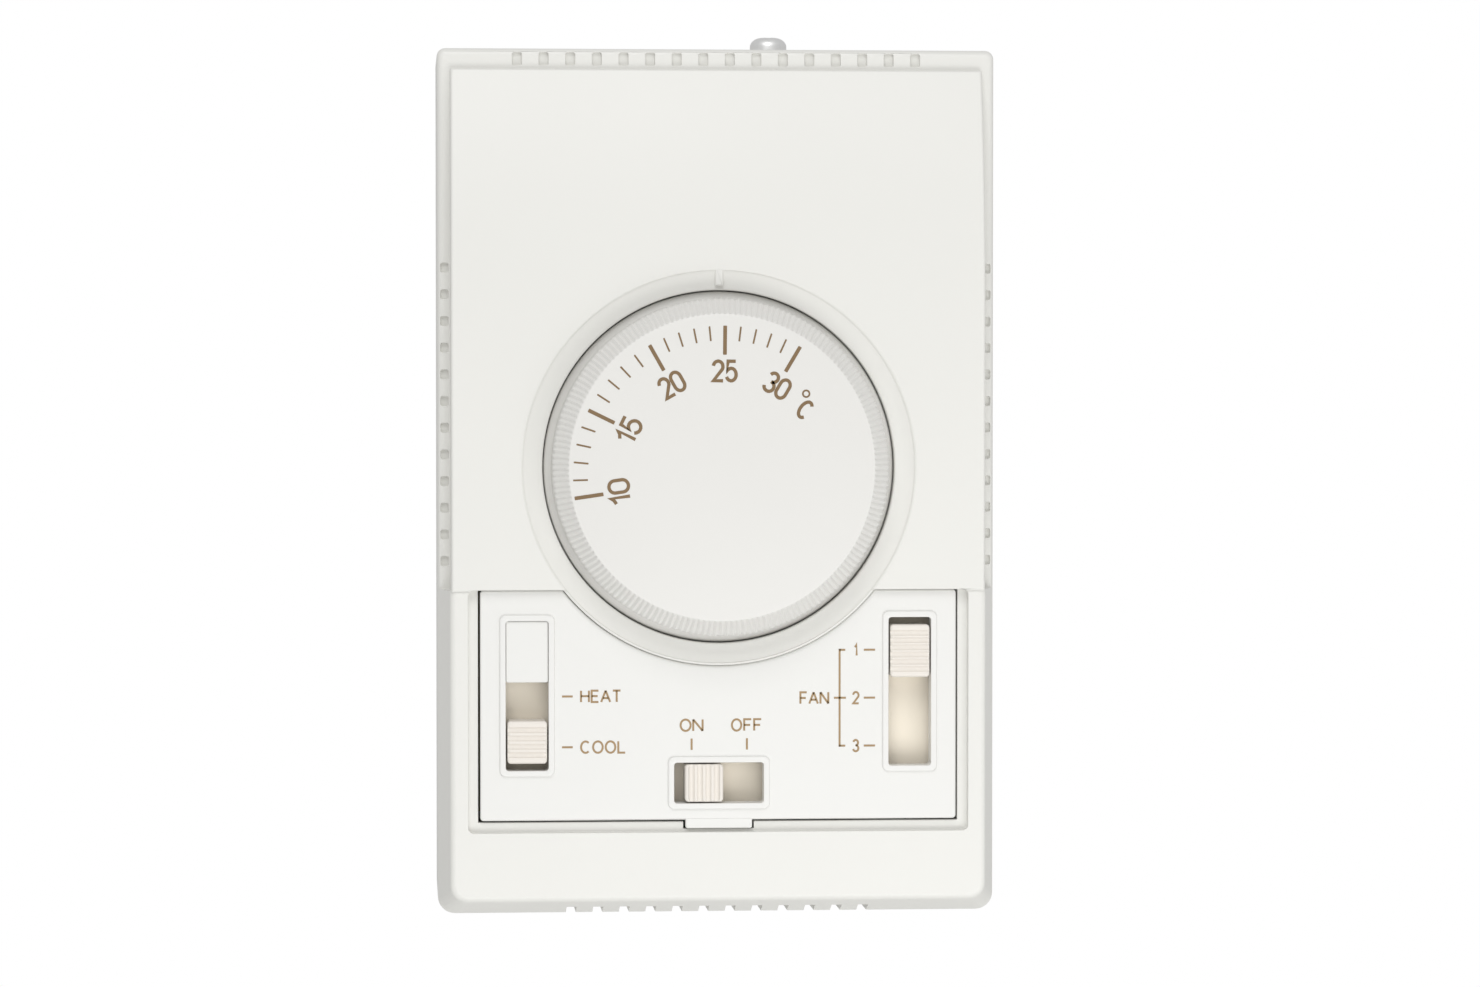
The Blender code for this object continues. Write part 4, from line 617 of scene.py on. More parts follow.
def laminate(name, first, second):
    """A lacquered glass-fibre board."""
    look, tree, shader, bump = new_look(name)
    cloth = group_node(tree, GROUPS["weave"], {"Thread Scale": 900.0})
    tree.links.new(two_tone(tree, cloth.outputs["Weave"], first, second),
                   shader.inputs["Base Color"])
    tree.links.new(cloth.outputs["Height"], bump.inputs["Height"])
    tree.links.new(spread(tree, cloth.outputs["Weave"], 0.3, 0.4), shader.inputs["Roughness"])
    bump.inputs["Strength"].default_value = 0.3
    bump.inputs["Distance"].default_value = 0.01 * MM
    return look


def darker(tint, share):
    """The same colour with less light."""
    return tuple(c * share for c in tint)


def make_looks():
    """Every finish of the object, by name."""
    GROUPS.update(skin=moulded_skin(), metal=worked_metal(), weave=woven_glass())
    tints = bpy.context.scene.thermostat_finishes
    for name, tint, rough in (("cover", tints.cover, 0.42), ("panel", tints.panel, 0.40),
                              ("dial", tints.dial, 0.38), ("knob", tints.knob, 0.40),
                              ("slider", tints.slider, 0.50), ("base", tints.base, 0.48)):
        LOOKS[name] = plastic(f"Moulded {name} plastic", tuple(tint), darker(tint, 0.965), rough)
    for name, tint in (("scale_print", tints.scale_print), ("panel_print", tints.panel_print)):
        LOOKS[name] = plastic(f"Pad-printed ink {name}", tuple(tint), darker(tint, 0.82), 0.5,
                              grain=5200.0, bump_mm=0.002, patch=600.0)
    LOOKS["zinc"] = metal("Zinc-plated steel", (0.93, 0.93, 0.92), (0.80, 0.80, 0.80), 0.40)
    LOOKS["sheet"] = metal("Plated sheet steel", (0.72, 0.70, 0.62), (0.56, 0.54, 0.47), 0.36,
                           600.0)
    LOOKS["brass"] = metal("Brass", (0.83, 0.66, 0.36), (0.66, 0.50, 0.25), 0.32)
    LOOKS["bronze"] = metal("Phosphor bronze", (0.80, 0.52, 0.30), (0.62, 0.38, 0.20), 0.34)
    LOOKS["spring"] = metal("Spring steel", (0.62, 0.61, 0.60), (0.42, 0.41, 0.40), 0.28, 1500.0)
    LOOKS["black"] = plastic("Black nylon", (0.028, 0.028, 0.030), (0.018, 0.018, 0.019), 0.46)
    LOOKS["white"] = plastic("Natural acetal", (0.78, 0.77, 0.72), (0.73, 0.72, 0.66), 0.36)
    LOOKS["grey"] = plastic("Grey filled nylon", (0.36, 0.37, 0.36), (0.30, 0.31, 0.30), 0.5)
    LOOKS["green"] = plastic("Green terminal plastic", (0.06, 0.26, 0.13), (0.05, 0.21, 0.10), 0.4)
    LOOKS["ceramic"] = plastic("Resistor lacquer", (0.30, 0.17, 0.09), (0.24, 0.13, 0.07), 0.35)
    LOOKS["film"] = plastic("Capacitor resin", (0.55, 0.36, 0.05), (0.48, 0.30, 0.04), 0.3)
    LOOKS["board"] = laminate("Glass-fibre board", (0.25, 0.21, 0.07), (0.33, 0.28, 0.11))
    for name, tint in (("red", (0.45, 0.03, 0.02)), ("blue", (0.03, 0.09, 0.38)),
                       ("yellow", (0.62, 0.46, 0.05))):
        LOOKS[name] = plastic(f"Wire insulation {name}", tint, darker(tint, 0.85), 0.4, patch=200.0)


GROUPS, LOOKS = {}, {}


# ---------------------------------------------------------------- front cover
def crowned(name, half_x, z, back, front, crown_z, drop, edge=0.0):
    """A plate whose upper part curves back on one large radius up to its top edge."""
    top = z[1] - crown_z
    radius = (top * top + drop * drop) / (2 * drop)
    piece = block(name, (-half_x, half_x), (z[0], crown_z), (back, front))
    bpy.ops.object.mode_set(mode="EDIT")
    pick(piece, "FACE", lambda f: f.normal.z > 0.9)
    bpy.ops.mesh.spin(steps=40, angle=math.asin(top / radius), dupli=False,
                      center=(0, radius - front, crown_z), axis=(1, 0, 0))
    bpy.ops.object.mode_set(mode="OBJECT")
    tidy_normals(piece)
    if edge > 0:
        def outer(e):
            spots = [v.co for v in e.verts]
            sides = not along(e, 0) and all(abs(abs(s.x) - half_x) < 1e-6 for s in spots)
            ends = along(e, 0) and (middle(e).z < z[0] + 1e-6 or middle(e).z > z[1] - 1e-5)
            faced = all(math.hypot(s.y - radius + front, s.z - crown_z) > radius - 1e-5
                        or s.z < crown_z + 1e-6 and s.y < -front + 1e-6 for s in spots)
            return faced and (sides or ends)
        round_edges(piece, outer, edge, 4)
    return piece


def lower_front(name, half_x, lean, z, bottom_lean, back, front, corner=0.0, edge=0.0):
    """The block round the controls, whose sides and bottom lean in towards the front."""
    middle_depth = front - 6.5 * MM
    piece = block(name, (-half_x, half_x), z, (back, middle_depth))
    if corner > 0:
        round_edges(piece, lambda e: along(e, 1) and middle(e).z < z[0] + 1e-6, corner, 6)
    bpy.ops.object.mode_set(mode="EDIT")
    pick(piece, "FACE", lambda f: f.normal.y < -0.9)
    bpy.ops.mesh.extrude_region_move(
        TRANSFORM_OT_translate={"value": (0, middle_depth - front, 0)})
    bpy.ops.transform.resize(
        value=((half_x - lean) / half_x, 1, (z[1] - z[0] - bottom_lean) / (z[1] - z[0])),
        center_override=(0, -front, z[1]))
    bpy.ops.object.mode_set(mode="OBJECT")
    if edge > 0:
        def bottom(e):
            return all(abs(v.co.y + front) < 1e-6 for v in e.verts) and middle(e).z < z[1] - 1e-5
        round_edges(piece, bottom, edge, 4)
    return piece


def vent_cutters(s):
    """Slots through the strip at the top and sides, and open notches along the bottom."""
    cutters = []
    half = s.vent_width / 2

    def slot(x, z, reach=s.vent_reach):
        depth = (s.rim_depth - reach, s.rim_depth + s.wall)
        cutters.append(block("slot", x, z, depth, 0.3 * MM, 3))

    for i in range(s.vents_top):
        x = (i - (s.vents_top - 1) / 2) * s.vent_pitch
        slot((x - half, x + half), (HALF_H - 2.6 * MM, HALF_H - 0.6 * MM))
    for i in range(s.vents_side):
        z = s.vents_side_z + (i - (s.vents_side - 1) / 2) * s.vent_pitch
        for side in (-1, 1):
            ends = sorted((side * (HALF_W - 1.72 * MM), side * (HALF_W - 0.5 * MM)))
            slot(ends, (z - half, z + half))
    for i in range(s.vents_bottom):
        x = (i - (s.vents_bottom - 1) / 2) * s.vent_pitch
        slot((x - half, x + half), (-HALF_H - 2 * MM, -HALF_H + 1.5 * MM),
             s.notch_reach)
    return joined("slots", cutters)


def dish_profile(s):
    """The sunk ring round the dial as a cutter, from in front of the plate to behind it."""
    edge, floor = s.opening_radius + s.dish_width, PLATE_FRONT - s.dish_sink
    lip = [(edge + 2.2 * MM, PLATE_FRONT + 2.2 * MM), (edge + 0.7 * MM, PLATE_FRONT + 0.12 * MM),
           (edge + 0.25 * MM, PLATE_FRONT - 0.01 * MM), (edge + 0.08 * MM, PLATE_FRONT - 0.06 * MM),
           (edge - 0.04 * MM, PLATE_FRONT - 0.16 * MM)]
    start_r, start_d = edge - 0.06 * MM, PLATE_FRONT - 0.24 * MM
    cove = []
    for i in range(13):
        t = i / 12
        cove.append((start_r + (s.opening_radius + 0.12 * MM - start_r) * t,
                     floor + (start_d - floor) * (1 - t) ** 2.2))
    bore = [(s.opening_radius + 0.03 * MM, floor - 0.06 * MM),
            (s.opening_radius, floor - 0.18 * MM), (s.opening_radius, -2 * MM)]
    return lip + cove + bore


class THERMOSTAT_OT_front_cover(bpy.types.Operator):
    """Front cover: rounded shell, crowned plate, control recess, dial dish, index and vents"""
    bl_idname = "thermostat.front_cover"
    bl_label = "Front Cover"

    def execute(self, context):
        s = context.scene.thermostat_cover
        back, crown_z = -COVER_HIGH.y, HALF_H - s.top_inset - s.crown_length
        plate_x, plate_top = HALF_W - s.plate_inset, HALF_H - s.top_inset
        cover = block("front_cover_shell", (-HALF_W, HALF_W), (-HALF_H, HALF_H),
                      (back, s.rim_depth))
        round_edges(cover, lambda e: along(e, 1) and middle(e).z > 0, s.top_corner, 6)
        round_edges(cover, lambda e: along(e, 1) and middle(e).z < -HALF_H + 1 * MM
                    and abs(middle(e).x) > HALF_W - 1 * MM, s.bottom_corner, 8)
        soften_front(cover, s.rim_depth, 1.1 * MM, 6)
        plate = crowned("plate", plate_x, (s.shoulder_z, plate_top), s.rim_depth - 8 * MM,
                        PLATE_FRONT, crown_z, s.crown_drop, s.edge)
        lower = lower_front("lower", HALF_W - 0.02 * MM, s.plate_inset - 0.02 * MM,
                            (-HALF_H + 0.02 * MM, s.shoulder_z + 0.3 * MM), s.bottom_bevel,
                            s.rim_depth - s.wall, s.lower_depth, s.bottom_corner, 0.7 * MM)
        boolean(cover, plate, "UNION")
        boolean(cover, lower, "UNION")
        cut(cover, block("hollow", (-HALF_W + s.wall, HALF_W - s.wall),
                             (-HALF_H + s.wall, HALF_H - s.wall),
                             (-2 * MM, s.rim_depth - s.wall)))
        cut(cover, crowned("plate_hollow", plate_x - s.wall,
                               (s.shoulder_z + s.wall, plate_top - s.wall), -2 * MM,
                               PLATE_FRONT - s.wall, crown_z, s.crown_drop))
        ledge_depth = s.lower_depth - s.recess_sink
        cut(cover, block("lower_hollow", (-plate_x + s.wall, plate_x - s.wall),
                             (-HALF_H + s.bottom_bevel + s.wall, s.shoulder_z + 2 * s.wall),
                             (-2 * MM, ledge_depth - s.wall)))
        recess_x, recess_z = HALF_W - s.recess_side, -HALF_H + s.recess_bottom
        cut(cover, block("recess", (-recess_x, recess_x), (recess_z, s.shoulder_z + s.recess_top),
                             (ledge_depth, PLATE_FRONT + 2 * MM), 0.8 * MM))
        cut(cover, block("panel_opening", (-recess_x + s.ledge, recess_x - s.ledge),
                             (recess_z + s.ledge, s.shoulder_z + s.recess_top),
                             (-2 * MM, PLATE_FRONT + 2 * MM)))
        tab = context.scene.thermostat_panel.tab_width / 2 + 0.3 * MM
        cut(cover, block("tab_slot", (-tab, tab), (recess_z + 0.4 * MM, recess_z + 2 * s.ledge),
                             (ledge_depth - 2 * s.wall, PLATE_FRONT + 2 * MM)))
        edge = s.opening_radius + s.dish_width
        ring = turned("dish_ring", DIAL_X, DIAL_Z,
                      [(edge + 0.3 * MM, PLATE_FRONT - 2.7 * MM),
                       (edge + 0.3 * MM, PLATE_FRONT - 0.5 * MM),
                       (edge + 0.22 * MM, PLATE_FRONT - 0.26 * MM),
                       (edge, PLATE_FRONT - 0.13 * MM)], 192)
        boolean(cover, ring, "UNION")
        cut(cover, turned("dish_cut", DIAL_X, DIAL_Z, dish_profile(s), 192))
        cut(cover, vent_cutters(s))
        screw_at = (SCREW_LOW + SCREW_HIGH) / 2
        hole = turned("screw_hole", 0, 0, [(1.8 * MM, -4 * MM), (1.8 * MM, 4 * MM)], 32)
        hole.rotation_euler = (math.pi / 2, 0, 0)
        hole.location = (screw_at.x, screw_at.y, HALF_H - 1 * MM)
        cut(cover, apply_place(hole))
        index_z = DIAL_Z + s.opening_radius
        index = block("index", (-s.index_width / 2, s.index_width / 2),
                      (index_z + 0.6 * MM, index_z + s.dish_width + 0.3 * MM),
                      (PLATE_FRONT - s.dish_sink - 0.3 * MM, PLATE_FRONT - 0.1 * MM), 0.2 * MM, 3)
        soften_front(index, PLATE_FRONT - 0.1 * MM, 0.25 * MM, 3)
        joined("front_cover_shell", [cover, index])
        tidy_normals(cover)
        ease(cover, 0.1 * MM)
        smooth(cover, 38)
        fit(cover, "case", "cover_plastic", LOOKS["cover"], "front_cover")
        return {"FINISHED"}


# ---------------------------------------------------------------- dial
class THERMOSTAT_OT_dial(bpy.types.Operator):
    """Temperature dial: hollow cap with a toothed bevel and a hidden flange"""
    bl_idname = "thermostat.dial"
    bl_label = "Dial"

    def execute(self, context):
        s = context.scene.thermostat_dial
        back = -DIAL_HIGH.y
        flange_back = min(s.flange_depth, DIAL_FRONT)
        flange_r = (DIAL_HIGH.x - DIAL_LOW.x) / 2
        bevel_low = DIAL_FRONT - s.bevel
        step_r = context.scene.thermostat_cover.opening_radius - 0.2 * MM
        rows = 6
        steps = [(s.radius - s.wall - 1 * MM, DIAL_FRONT - s.wall),
                 (s.radius - s.wall, DIAL_FRONT - s.wall - s.bevel),
                 (s.radius - s.wall, flange_back), (flange_r, flange_back),
                 (flange_r, flange_back + s.flange - 0.2 * MM),
                 (flange_r - 0.2 * MM, flange_back + s.flange),
                 (step_r + 0.2 * MM, flange_back + s.flange),
                 (step_r, flange_back + s.flange + 0.2 * MM),
                 (step_r, s.step_depth - 0.25 * MM), (step_r - 0.25 * MM, s.step_depth),
                 (s.radius + 0.3 * MM, s.step_depth), (s.radius, s.step_depth + 0.3 * MM),
                 (s.radius, bevel_low - 1.2 * MM),
                 (s.radius, bevel_low)]
        for i in range(1, rows + 1):
            t = i / rows
            steps.append((s.radius + (s.face_radius - s.radius) * t, bevel_low + s.bevel * t))
        steps[-1] = (s.face_radius + 0.12 * MM, DIAL_FRONT - 0.12 * MM)
        steps += [(s.face_radius, DIAL_FRONT - 0.03 * MM), (s.face_radius - 0.15 * MM, DIAL_FRONT)]
        dial = turned("dial_cap", DIAL_X, DIAL_Z, steps, s.teeth * 4)
        centre = Vector((DIAL_X, 0, DIAL_Z))

        def on_grip(place):
            far = math.hypot(place.x - DIAL_X, place.z - DIAL_Z)
            return (bevel_low - 0.1 * MM < -place.y < DIAL_FRONT - 0.06 * MM
                    and far > s.face_radius - 0.01 * MM)

        def phase(place):
            turn = math.atan2(place.z - DIAL_Z, place.x - DIAL_X) / (2 * math.pi)
            return round(turn * s.teeth * 4) % 4

        activate(dial)
        bpy.ops.object.mode_set(mode="EDIT")
        for step, way in ((0, 1), (2, -1)):
            share = 1 + way * s.tooth_height / (2 * s.radius)
            pick(dial, "VERT", lambda v: on_grip(v.co) and phase(v.co) == step)
            bpy.ops.transform.resize(value=(share, 1, share), center_override=centre)
        bpy.ops.object.mode_set(mode="OBJECT")
        smooth(dial, 50, False)
        hub = turned("hub", DIAL_X, DIAL_Z, [(5.2 * MM, DIAL_FRONT - s.wall + 0.2 * MM),
                                             (5.2 * MM, back + 0.3 * MM), (4.9 * MM, back)], 48)
        bore = turned("bore", DIAL_X, DIAL_Z, [(3.3 * MM, back - 1 * MM),
                                               (3.3 * MM, DIAL_FRONT - s.wall - 0.6 * MM)], 48)
        cut(hub, bore)
        smooth(hub, 35)
        fit(hub, "dial", "cover_plastic", LOOKS["dial"])
        hub.name = "dial_hub"
        fit(dial, "dial", "cover_plastic", LOOKS["dial"], "dial_knob")
        return {"FINISHED"}


class THERMOSTAT_OT_dial_scale(bpy.types.Operator):
    """Printed temperature scale: a long mark each five degrees, short marks and numerals"""
    bl_idname = "thermostat.dial_scale"
    bl_label = "Dial Scale"

    def execute(self, context):
        s = context.scene.thermostat_dial
        centre_x, centre_z = DIAL_X + 0.2 * MM, DIAL_Z - s.scale_drop
        print_depth = DIAL_FRONT + 0.012 * MM

        def turn(degrees_c):
            """Angle of a temperature, clockwise from the top."""
            cold, warm = 6.88, 6.01
            start = -98.3
            if degrees_c <= 20:
                return start + cold * (degrees_c - 10)
            return start + cold * 10 + warm * (degrees_c - 20)

        def spot(radius, angle):
            a = math.radians(angle)
            return centre_x + radius * math.sin(a), centre_z + radius * math.cos(a)

        marks, texts = [], []
        for value in range(10, 31):
            long_one = value % 5 == 0
            length, width = (4.3 * MM, 0.56 * MM) if long_one else (2.2 * MM, 0.26 * MM)
            x, z = spot(s.scale_radius - length / 2, turn(value))
            bar = block("mark", (-width / 2, width / 2), (-length / 2, length / 2),
                        (-0.015 * MM, 0.015 * MM), 0.08 * MM, 2)
            bar.rotation_euler = (0, math.radians(turn(value)), 0)
            bar.location = (x, -print_depth, z)
            marks.append(apply_place(bar))
            if long_one:
                x, z = spot(s.numeral_radius, turn(value))
                texts.append(lettering("numeral", str(value), s.numeral_height,
                                       (x, z, print_depth), s.numeral_width, turn(value),
                                       s.numeral_line))
        x, z = spot(s.numeral_radius, 50.8)
        texts.append(lettering("unit", "C", s.numeral_height * 0.92, (x, z, print_depth),
                               2.0 * MM, 38, s.numeral_line))
        x, z = spot(17.3 * MM, 45)
        ring = turned("ring", x, z, [(0.62 * MM, print_depth - 0.015 * MM),
                                     (0.62 * MM, print_depth + 0.015 * MM)], 32)
        cut(ring, turned("ring_hole", x, z, [(0.36 * MM, print_depth - 1 * MM),
                                                 (0.36 * MM, print_depth + 1 * MM)], 32))
        scale = joined("dial_scale", marks + texts + [ring])
        fit(scale, "dial", "cover_plastic", LOOKS["scale_print"])
        return {"FINISHED"}


# ---------------------------------------------------------------- control panel
LEFT_WINDOW = ((-31.9 * MM, -25.5 * MM), (-43.1 * MM, -20.7 * MM))
RIGHT_WINDOW = ((25.5 * MM, 31.9 * MM), (-42.6 * MM, -20.3 * MM))
INSERT = "blanking_insert"
BOTTOM_WINDOW = ((-6.725 * MM, 6.725 * MM), (-48.1 * MM, -42.0 * MM))


class THERMOSTAT_OT_control_panel(bpy.types.Operator):
    """Control panel: a thick plate with three framed windows, a tab and a round cut"""
    bl_idname = "thermostat.control_panel"
    bl_label = "Control Panel"

    def execute(self, context):
        s, cover = context.scene.thermostat_panel, context.scene.thermostat_cover
        face, back = s.face_depth, s.face_depth - s.thickness
        half_x = min((PANEL_HIGH.x - PANEL_LOW.x) / 2, s.half_width)
        low = s.low_edge
        high = cover.shoulder_z + cover.recess_top - 0.08 * MM
        panel = block("panel_plate", (-half_x, half_x), (low, high), (back, face), 0.5 * MM, 4)
        soften_front(panel, face, 0.28 * MM, 3)
        tab = block("tab", (-s.tab_width / 2, s.tab_width / 2), (low - 1.3 * MM, low + 1 * MM),
                    (back + 0.6 * MM, face - 0.05 * MM), 0.3 * MM, 3)
        soften_front(tab, face - 0.05 * MM, 0.25 * MM, 3)
        boolean(panel, tab, "UNION")
        for x, z in (LEFT_WINDOW, RIGHT_WINDOW, BOTTOM_WINDOW):
            rim = s.frame_width
            border = block("border", (x[0] - rim, x[1] + rim), (z[0] - rim, z[1] + rim),
                           (back + 1 * MM, face + s.frame_height), s.window_radius + rim * 0.5, 5)
            soften_front(border, face + s.frame_height, 0.22 * MM, 3)
            boolean(panel, border, "UNION")
            cut(panel, block("window", x, z, (back - 1 * MM, face + 1 * MM),
                                 s.window_radius, 5))
        edge = cover.opening_radius + cover.dish_width + 0.3 * MM + s.dial_gap
        cut(panel, turned("dial_cut", DIAL_X, DIAL_Z, [(edge, back - 1 * MM),
                                                       (edge, face - 0.2 * MM),
                                                           (edge + 0.2 * MM, face),
                                                           (edge + 1.2 * MM, face + 1 * MM)], 192))
        tidy_normals(panel)
        ease(panel, 0.1 * MM)
        smooth(panel, 38)
        fit(panel, "case", "cover_plastic", LOOKS["panel"], "control_panel")
        low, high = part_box(INSERT)
        gap = 0.05 * MM
        insert = block(INSERT + "_filler", (LEFT_WINDOW[0][0] + gap, LEFT_WINDOW[0][1] - gap),
                       (low.z, LEFT_WINDOW[1][1] - gap), (-high.y, -low.y), 0.3 * MM, 4)
        soften_front(insert, -low.y, 0.18 * MM, 3)
        smooth(insert, 38)
        fit(insert, "case", "cover_plastic", LOOKS["panel"], INSERT)
        return {"FINISHED"}


class THERMOSTAT_OT_panel_print(bpy.types.Operator):
    """Printed words and marks beside the three slide switches"""
    bl_idname = "thermostat.panel_print"
    bl_label = "Panel Print"

    def execute(self, context):
        s = context.scene.thermostat_panel
        depth, tall, line = s.face_depth + 0.012 * MM, s.letter_height, 0.3 * MM
        bits = []

        def word(text, x, z, height=tall):
            """Capitals from one X to another, centred on a height."""
            bits.append(lettering("word", text, height, ((x[0] + x[1]) / 2, z, depth),
                                  x[1] - x[0]))

        def bar(x, z):
            bits.append(mark("bar", x, z, depth))

        def dash(x, z):
            bar(x, (z - line / 2, z + line / 2))

        upper, lower = -32.0 * MM, -39.6 * MM
        word("HEAT", (-20.8 * MM, -14.6 * MM), upper)
        word("COOL", (-20.8 * MM, -13.9 * MM), lower)
        dash((-23.5 * MM, -21.9 * MM), upper)
        dash((-23.5 * MM, -21.9 * MM), lower)
        word("ON", (-5.9 * MM, -2.3 * MM), -36.4 * MM)
        word("OFF", (1.8 * MM, 6.5 * MM), -36.4 * MM)
        for x in (-4.1 * MM, 4.2 * MM):
            bar((x - line / 2, x + line / 2), (-40.1 * MM, -38.4 * MM))
        first, second, third = -25.2 * MM, -32.4 * MM, -39.6 * MM
        word("FAN", (12.1 * MM, 16.6 * MM), second)
        bar((18.0 * MM, 18.3 * MM), (third - line / 2, first + line / 2))
        dash((18.1 * MM, 19.0 * MM), first)
        dash((18.1 * MM, 19.0 * MM), third)
        dash((17.3 * MM, 19.1 * MM), second)
        for text, z, width in (("1", first, 0.62 * MM), ("2", second, 1.15 * MM),
                               ("3", third, 1.1 * MM)):
            word(text, (20.6 * MM - width / 2, 20.6 * MM + width / 2), z)
            dash((21.8 * MM, 23.5 * MM), z)
        fit(joined("panel_print", bits), "case", "cover_plastic", LOOKS["panel_print"])
        return {"FINISHED"}


class THERMOSTAT_OT_slide_knobs(bpy.types.Operator):
    """The three slide knobs, each with rounded edges and grip valleys"""
    bl_idname = "thermostat.slide_knobs"
    bl_label = "Slide Knobs"

    def execute(self, context):
        s = context.scene.thermostat_panel
        for node, body, across, count, pitch in (
                ("heat_cool_knob", "heat_cool_slide", "X", 4, 1.24 * MM),
                ("on_off_knob", "on_off_slide", "Z", 4, 1.25 * MM),
                ("fan_knob", "fan_slide", "X", 6, 1.08 * MM)):
            low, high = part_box(node)
            face = -low.y
            knob = block(node + "_grip", (low.x, high.x), (low.z, high.z), (-high.y, face),
                         0.5 * MM, 5)
            soften_front(knob, face, 0.4 * MM, 4)
            centre = (low + high) / 2
            valleys = []
            for i in range(count):
                shift = (i - (count - 1) / 2) * pitch
                valley = turned("valley", 0, 0, [(s.ridge_radius, -8 * MM),
                                                 (s.ridge_radius, 8 * MM)], 24)
                if across == "X":
                    valley.rotation_euler = (0, 0, math.pi / 2)
                    valley.location = (centre.x, -face, centre.z + shift)
                else:
                    valley.rotation_euler = (math.pi / 2, 0, 0)
                    valley.location = (centre.x + shift, -face, centre.z)
                valleys.append(apply_place(valley))
            cut(knob, joined("valleys", valleys))
            tidy_normals(knob)
            ease(knob, 0.07 * MM)
            smooth(knob, 38)
            fit(knob, body, "knob_plastic", LOOKS["knob"], node)
        return {"FINISHED"}


class THERMOSTAT_OT_cover_screw(bpy.types.Operator):
    """Cover screw: threaded shank under a domed head with a cross recess"""
    bl_idname = "thermostat.cover_screw"
    bl_label = "Cover Screw"

    def execute(self, context):
        x, y = (SCREW_LOW.x + SCREW_HIGH.x) / 2, (SCREW_LOW.y + SCREW_HIGH.y) / 2
        head_r, top = (SCREW_HIGH.x - SCREW_LOW.x) / 2, SCREW_HIGH.z
        length = top - SCREW_LOW.z
        under, shank, thread = 2.3 * MM, 1.24 * MM, 1.5 * MM
        steps = [(0.7 * MM, 0), (shank, 0.4 * MM)]
        pitch, at = 0.5 * MM, 0.4 * MM
        while at + pitch < length - under - 0.6 * MM:
            steps += [(thread, at + pitch * 0.4), (thread, at + pitch * 0.55), (shank, at + pitch)]
            at += pitch
        base = length - under
        steps += [(shank, base - 0.02 * MM), (head_r - 0.15 * MM, base), (head_r, base + 0.12 * MM),
                  (head_r, base + 0.9 * MM)]
        for i in range(1, 9):
            a = i / 8 * math.pi / 2
            steps.append((head_r * (0.35 + 0.65 * math.cos(a)), base + 0.9 * MM
                          + (under - 0.9 * MM) * math.sin(a)))
        screw = turned("cover_screw_turned", 0, 0, steps, 48)
        for angle in (0, 90):
            slot = block("cross", (-0.35 * MM, 0.35 * MM), (-1.5 * MM, 1.5 * MM),
                         (length - 1.1 * MM, length + 1 * MM))
            slot.rotation_euler = (0, math.radians(angle), 0)
            cut(screw, apply_place(slot))
        screw.rotation_euler = (-math.pi / 2, 0, 0)
        screw.location = (x, y, SCREW_LOW.z)
        apply_place(screw)
        tidy_normals(screw)
        smooth(screw, 35)
        fit(screw, "case", "zinc_steel", LOOKS["zinc"], "cover_screw")
        return {"FINISHED"}


# ---------------------------------------------------------------- everything behind the cover
NODE_LOOKS = (
    ("wire", ("red", "blue", "yellow")), ("jumper", ("red", "blue", "yellow")),
    ("slider", "slider"), ("base_plate", "base"), ("terminal_screw", "zinc"),
    ("screw", "zinc"), ("nut", "zinc"), ("terminal", "green"), ("spindle_clip", "spring"),
    ("bush", "white"), ("spindle", "white"), ("bracket", "sheet"), ("lever_spring", "spring"),
    ("lever_pin", "zinc"), ("lever", "brass"), ("bellows", "bronze"), ("plunger", "white"),
    ("board", "board"), ("resistor", "ceramic"), ("capacitor", "film"), ("switch", "black"),
)


LOOK_SLOTS = {
    "red": "wire_insulation", "blue": "wire_insulation", "yellow": "wire_insulation",
    "panel": "cover_plastic", "slider": "slider_plastic", "base": "base_plastic",
    "zinc": "zinc_steel", "sheet": "zinc_steel", "green": "terminal_plastic",
    "spring": "spring_steel", "white": "spindle_plastic", "brass": "lever_brass",
    "bronze": "brass", "board": "board_laminate", "ceramic": "resistor_body",
    "film": "capacitor_case", "black": "switch_housing", "grey": "black_plastic",
}


class THERMOSTAT_OT_works(bpy.types.Operator):
    """Base plate, switches, board and linkage: eased edges and a finish for every node"""
    bl_idname = "thermostat.works"
    bl_label = "Base and Works"

    def execute(self, context):
        count = 0
        for name in sorted(frame["nodes"]):
            node = frame["nodes"][name]
            if node.hide_render:
                continue
            looks = next((look for word, look in NODE_LOOKS if word in name), "grey")
            if isinstance(looks, tuple):
                looks = looks[count % len(looks)]
                count += 1
            piece = bpy.data.objects.new(name + "_eased", node.data.copy())
            context.scene.collection.objects.link(piece)
            piece.matrix_world = node.matrix_world
            apply_place(piece)
            bpy.ops.object.mode_set(mode="EDIT")
            bpy.ops.mesh.select_all(action="SELECT")
            bpy.ops.mesh.remove_doubles(threshold=1e-6)
            bpy.ops.mesh.dissolve_limited(angle_limit=math.radians(1.0))
            bpy.ops.object.mode_set(mode="OBJECT")
            low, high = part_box(name)
            span = min(high - low)
            ease(piece, min(0.16 * MM, span * 0.06), 40, True)
            smooth(piece, 40)
            fit(piece, body_name(name), LOOK_SLOTS[looks], LOOKS[looks], name)
        return {"FINISHED"}


def body_name(node):
    """The body that the record puts a node on."""
    for body, nodes in frame["record"]["behaviour"]["bodies"].items():
        if node in nodes:
            return body
    raise RuntimeError(f"{node} is on no body")


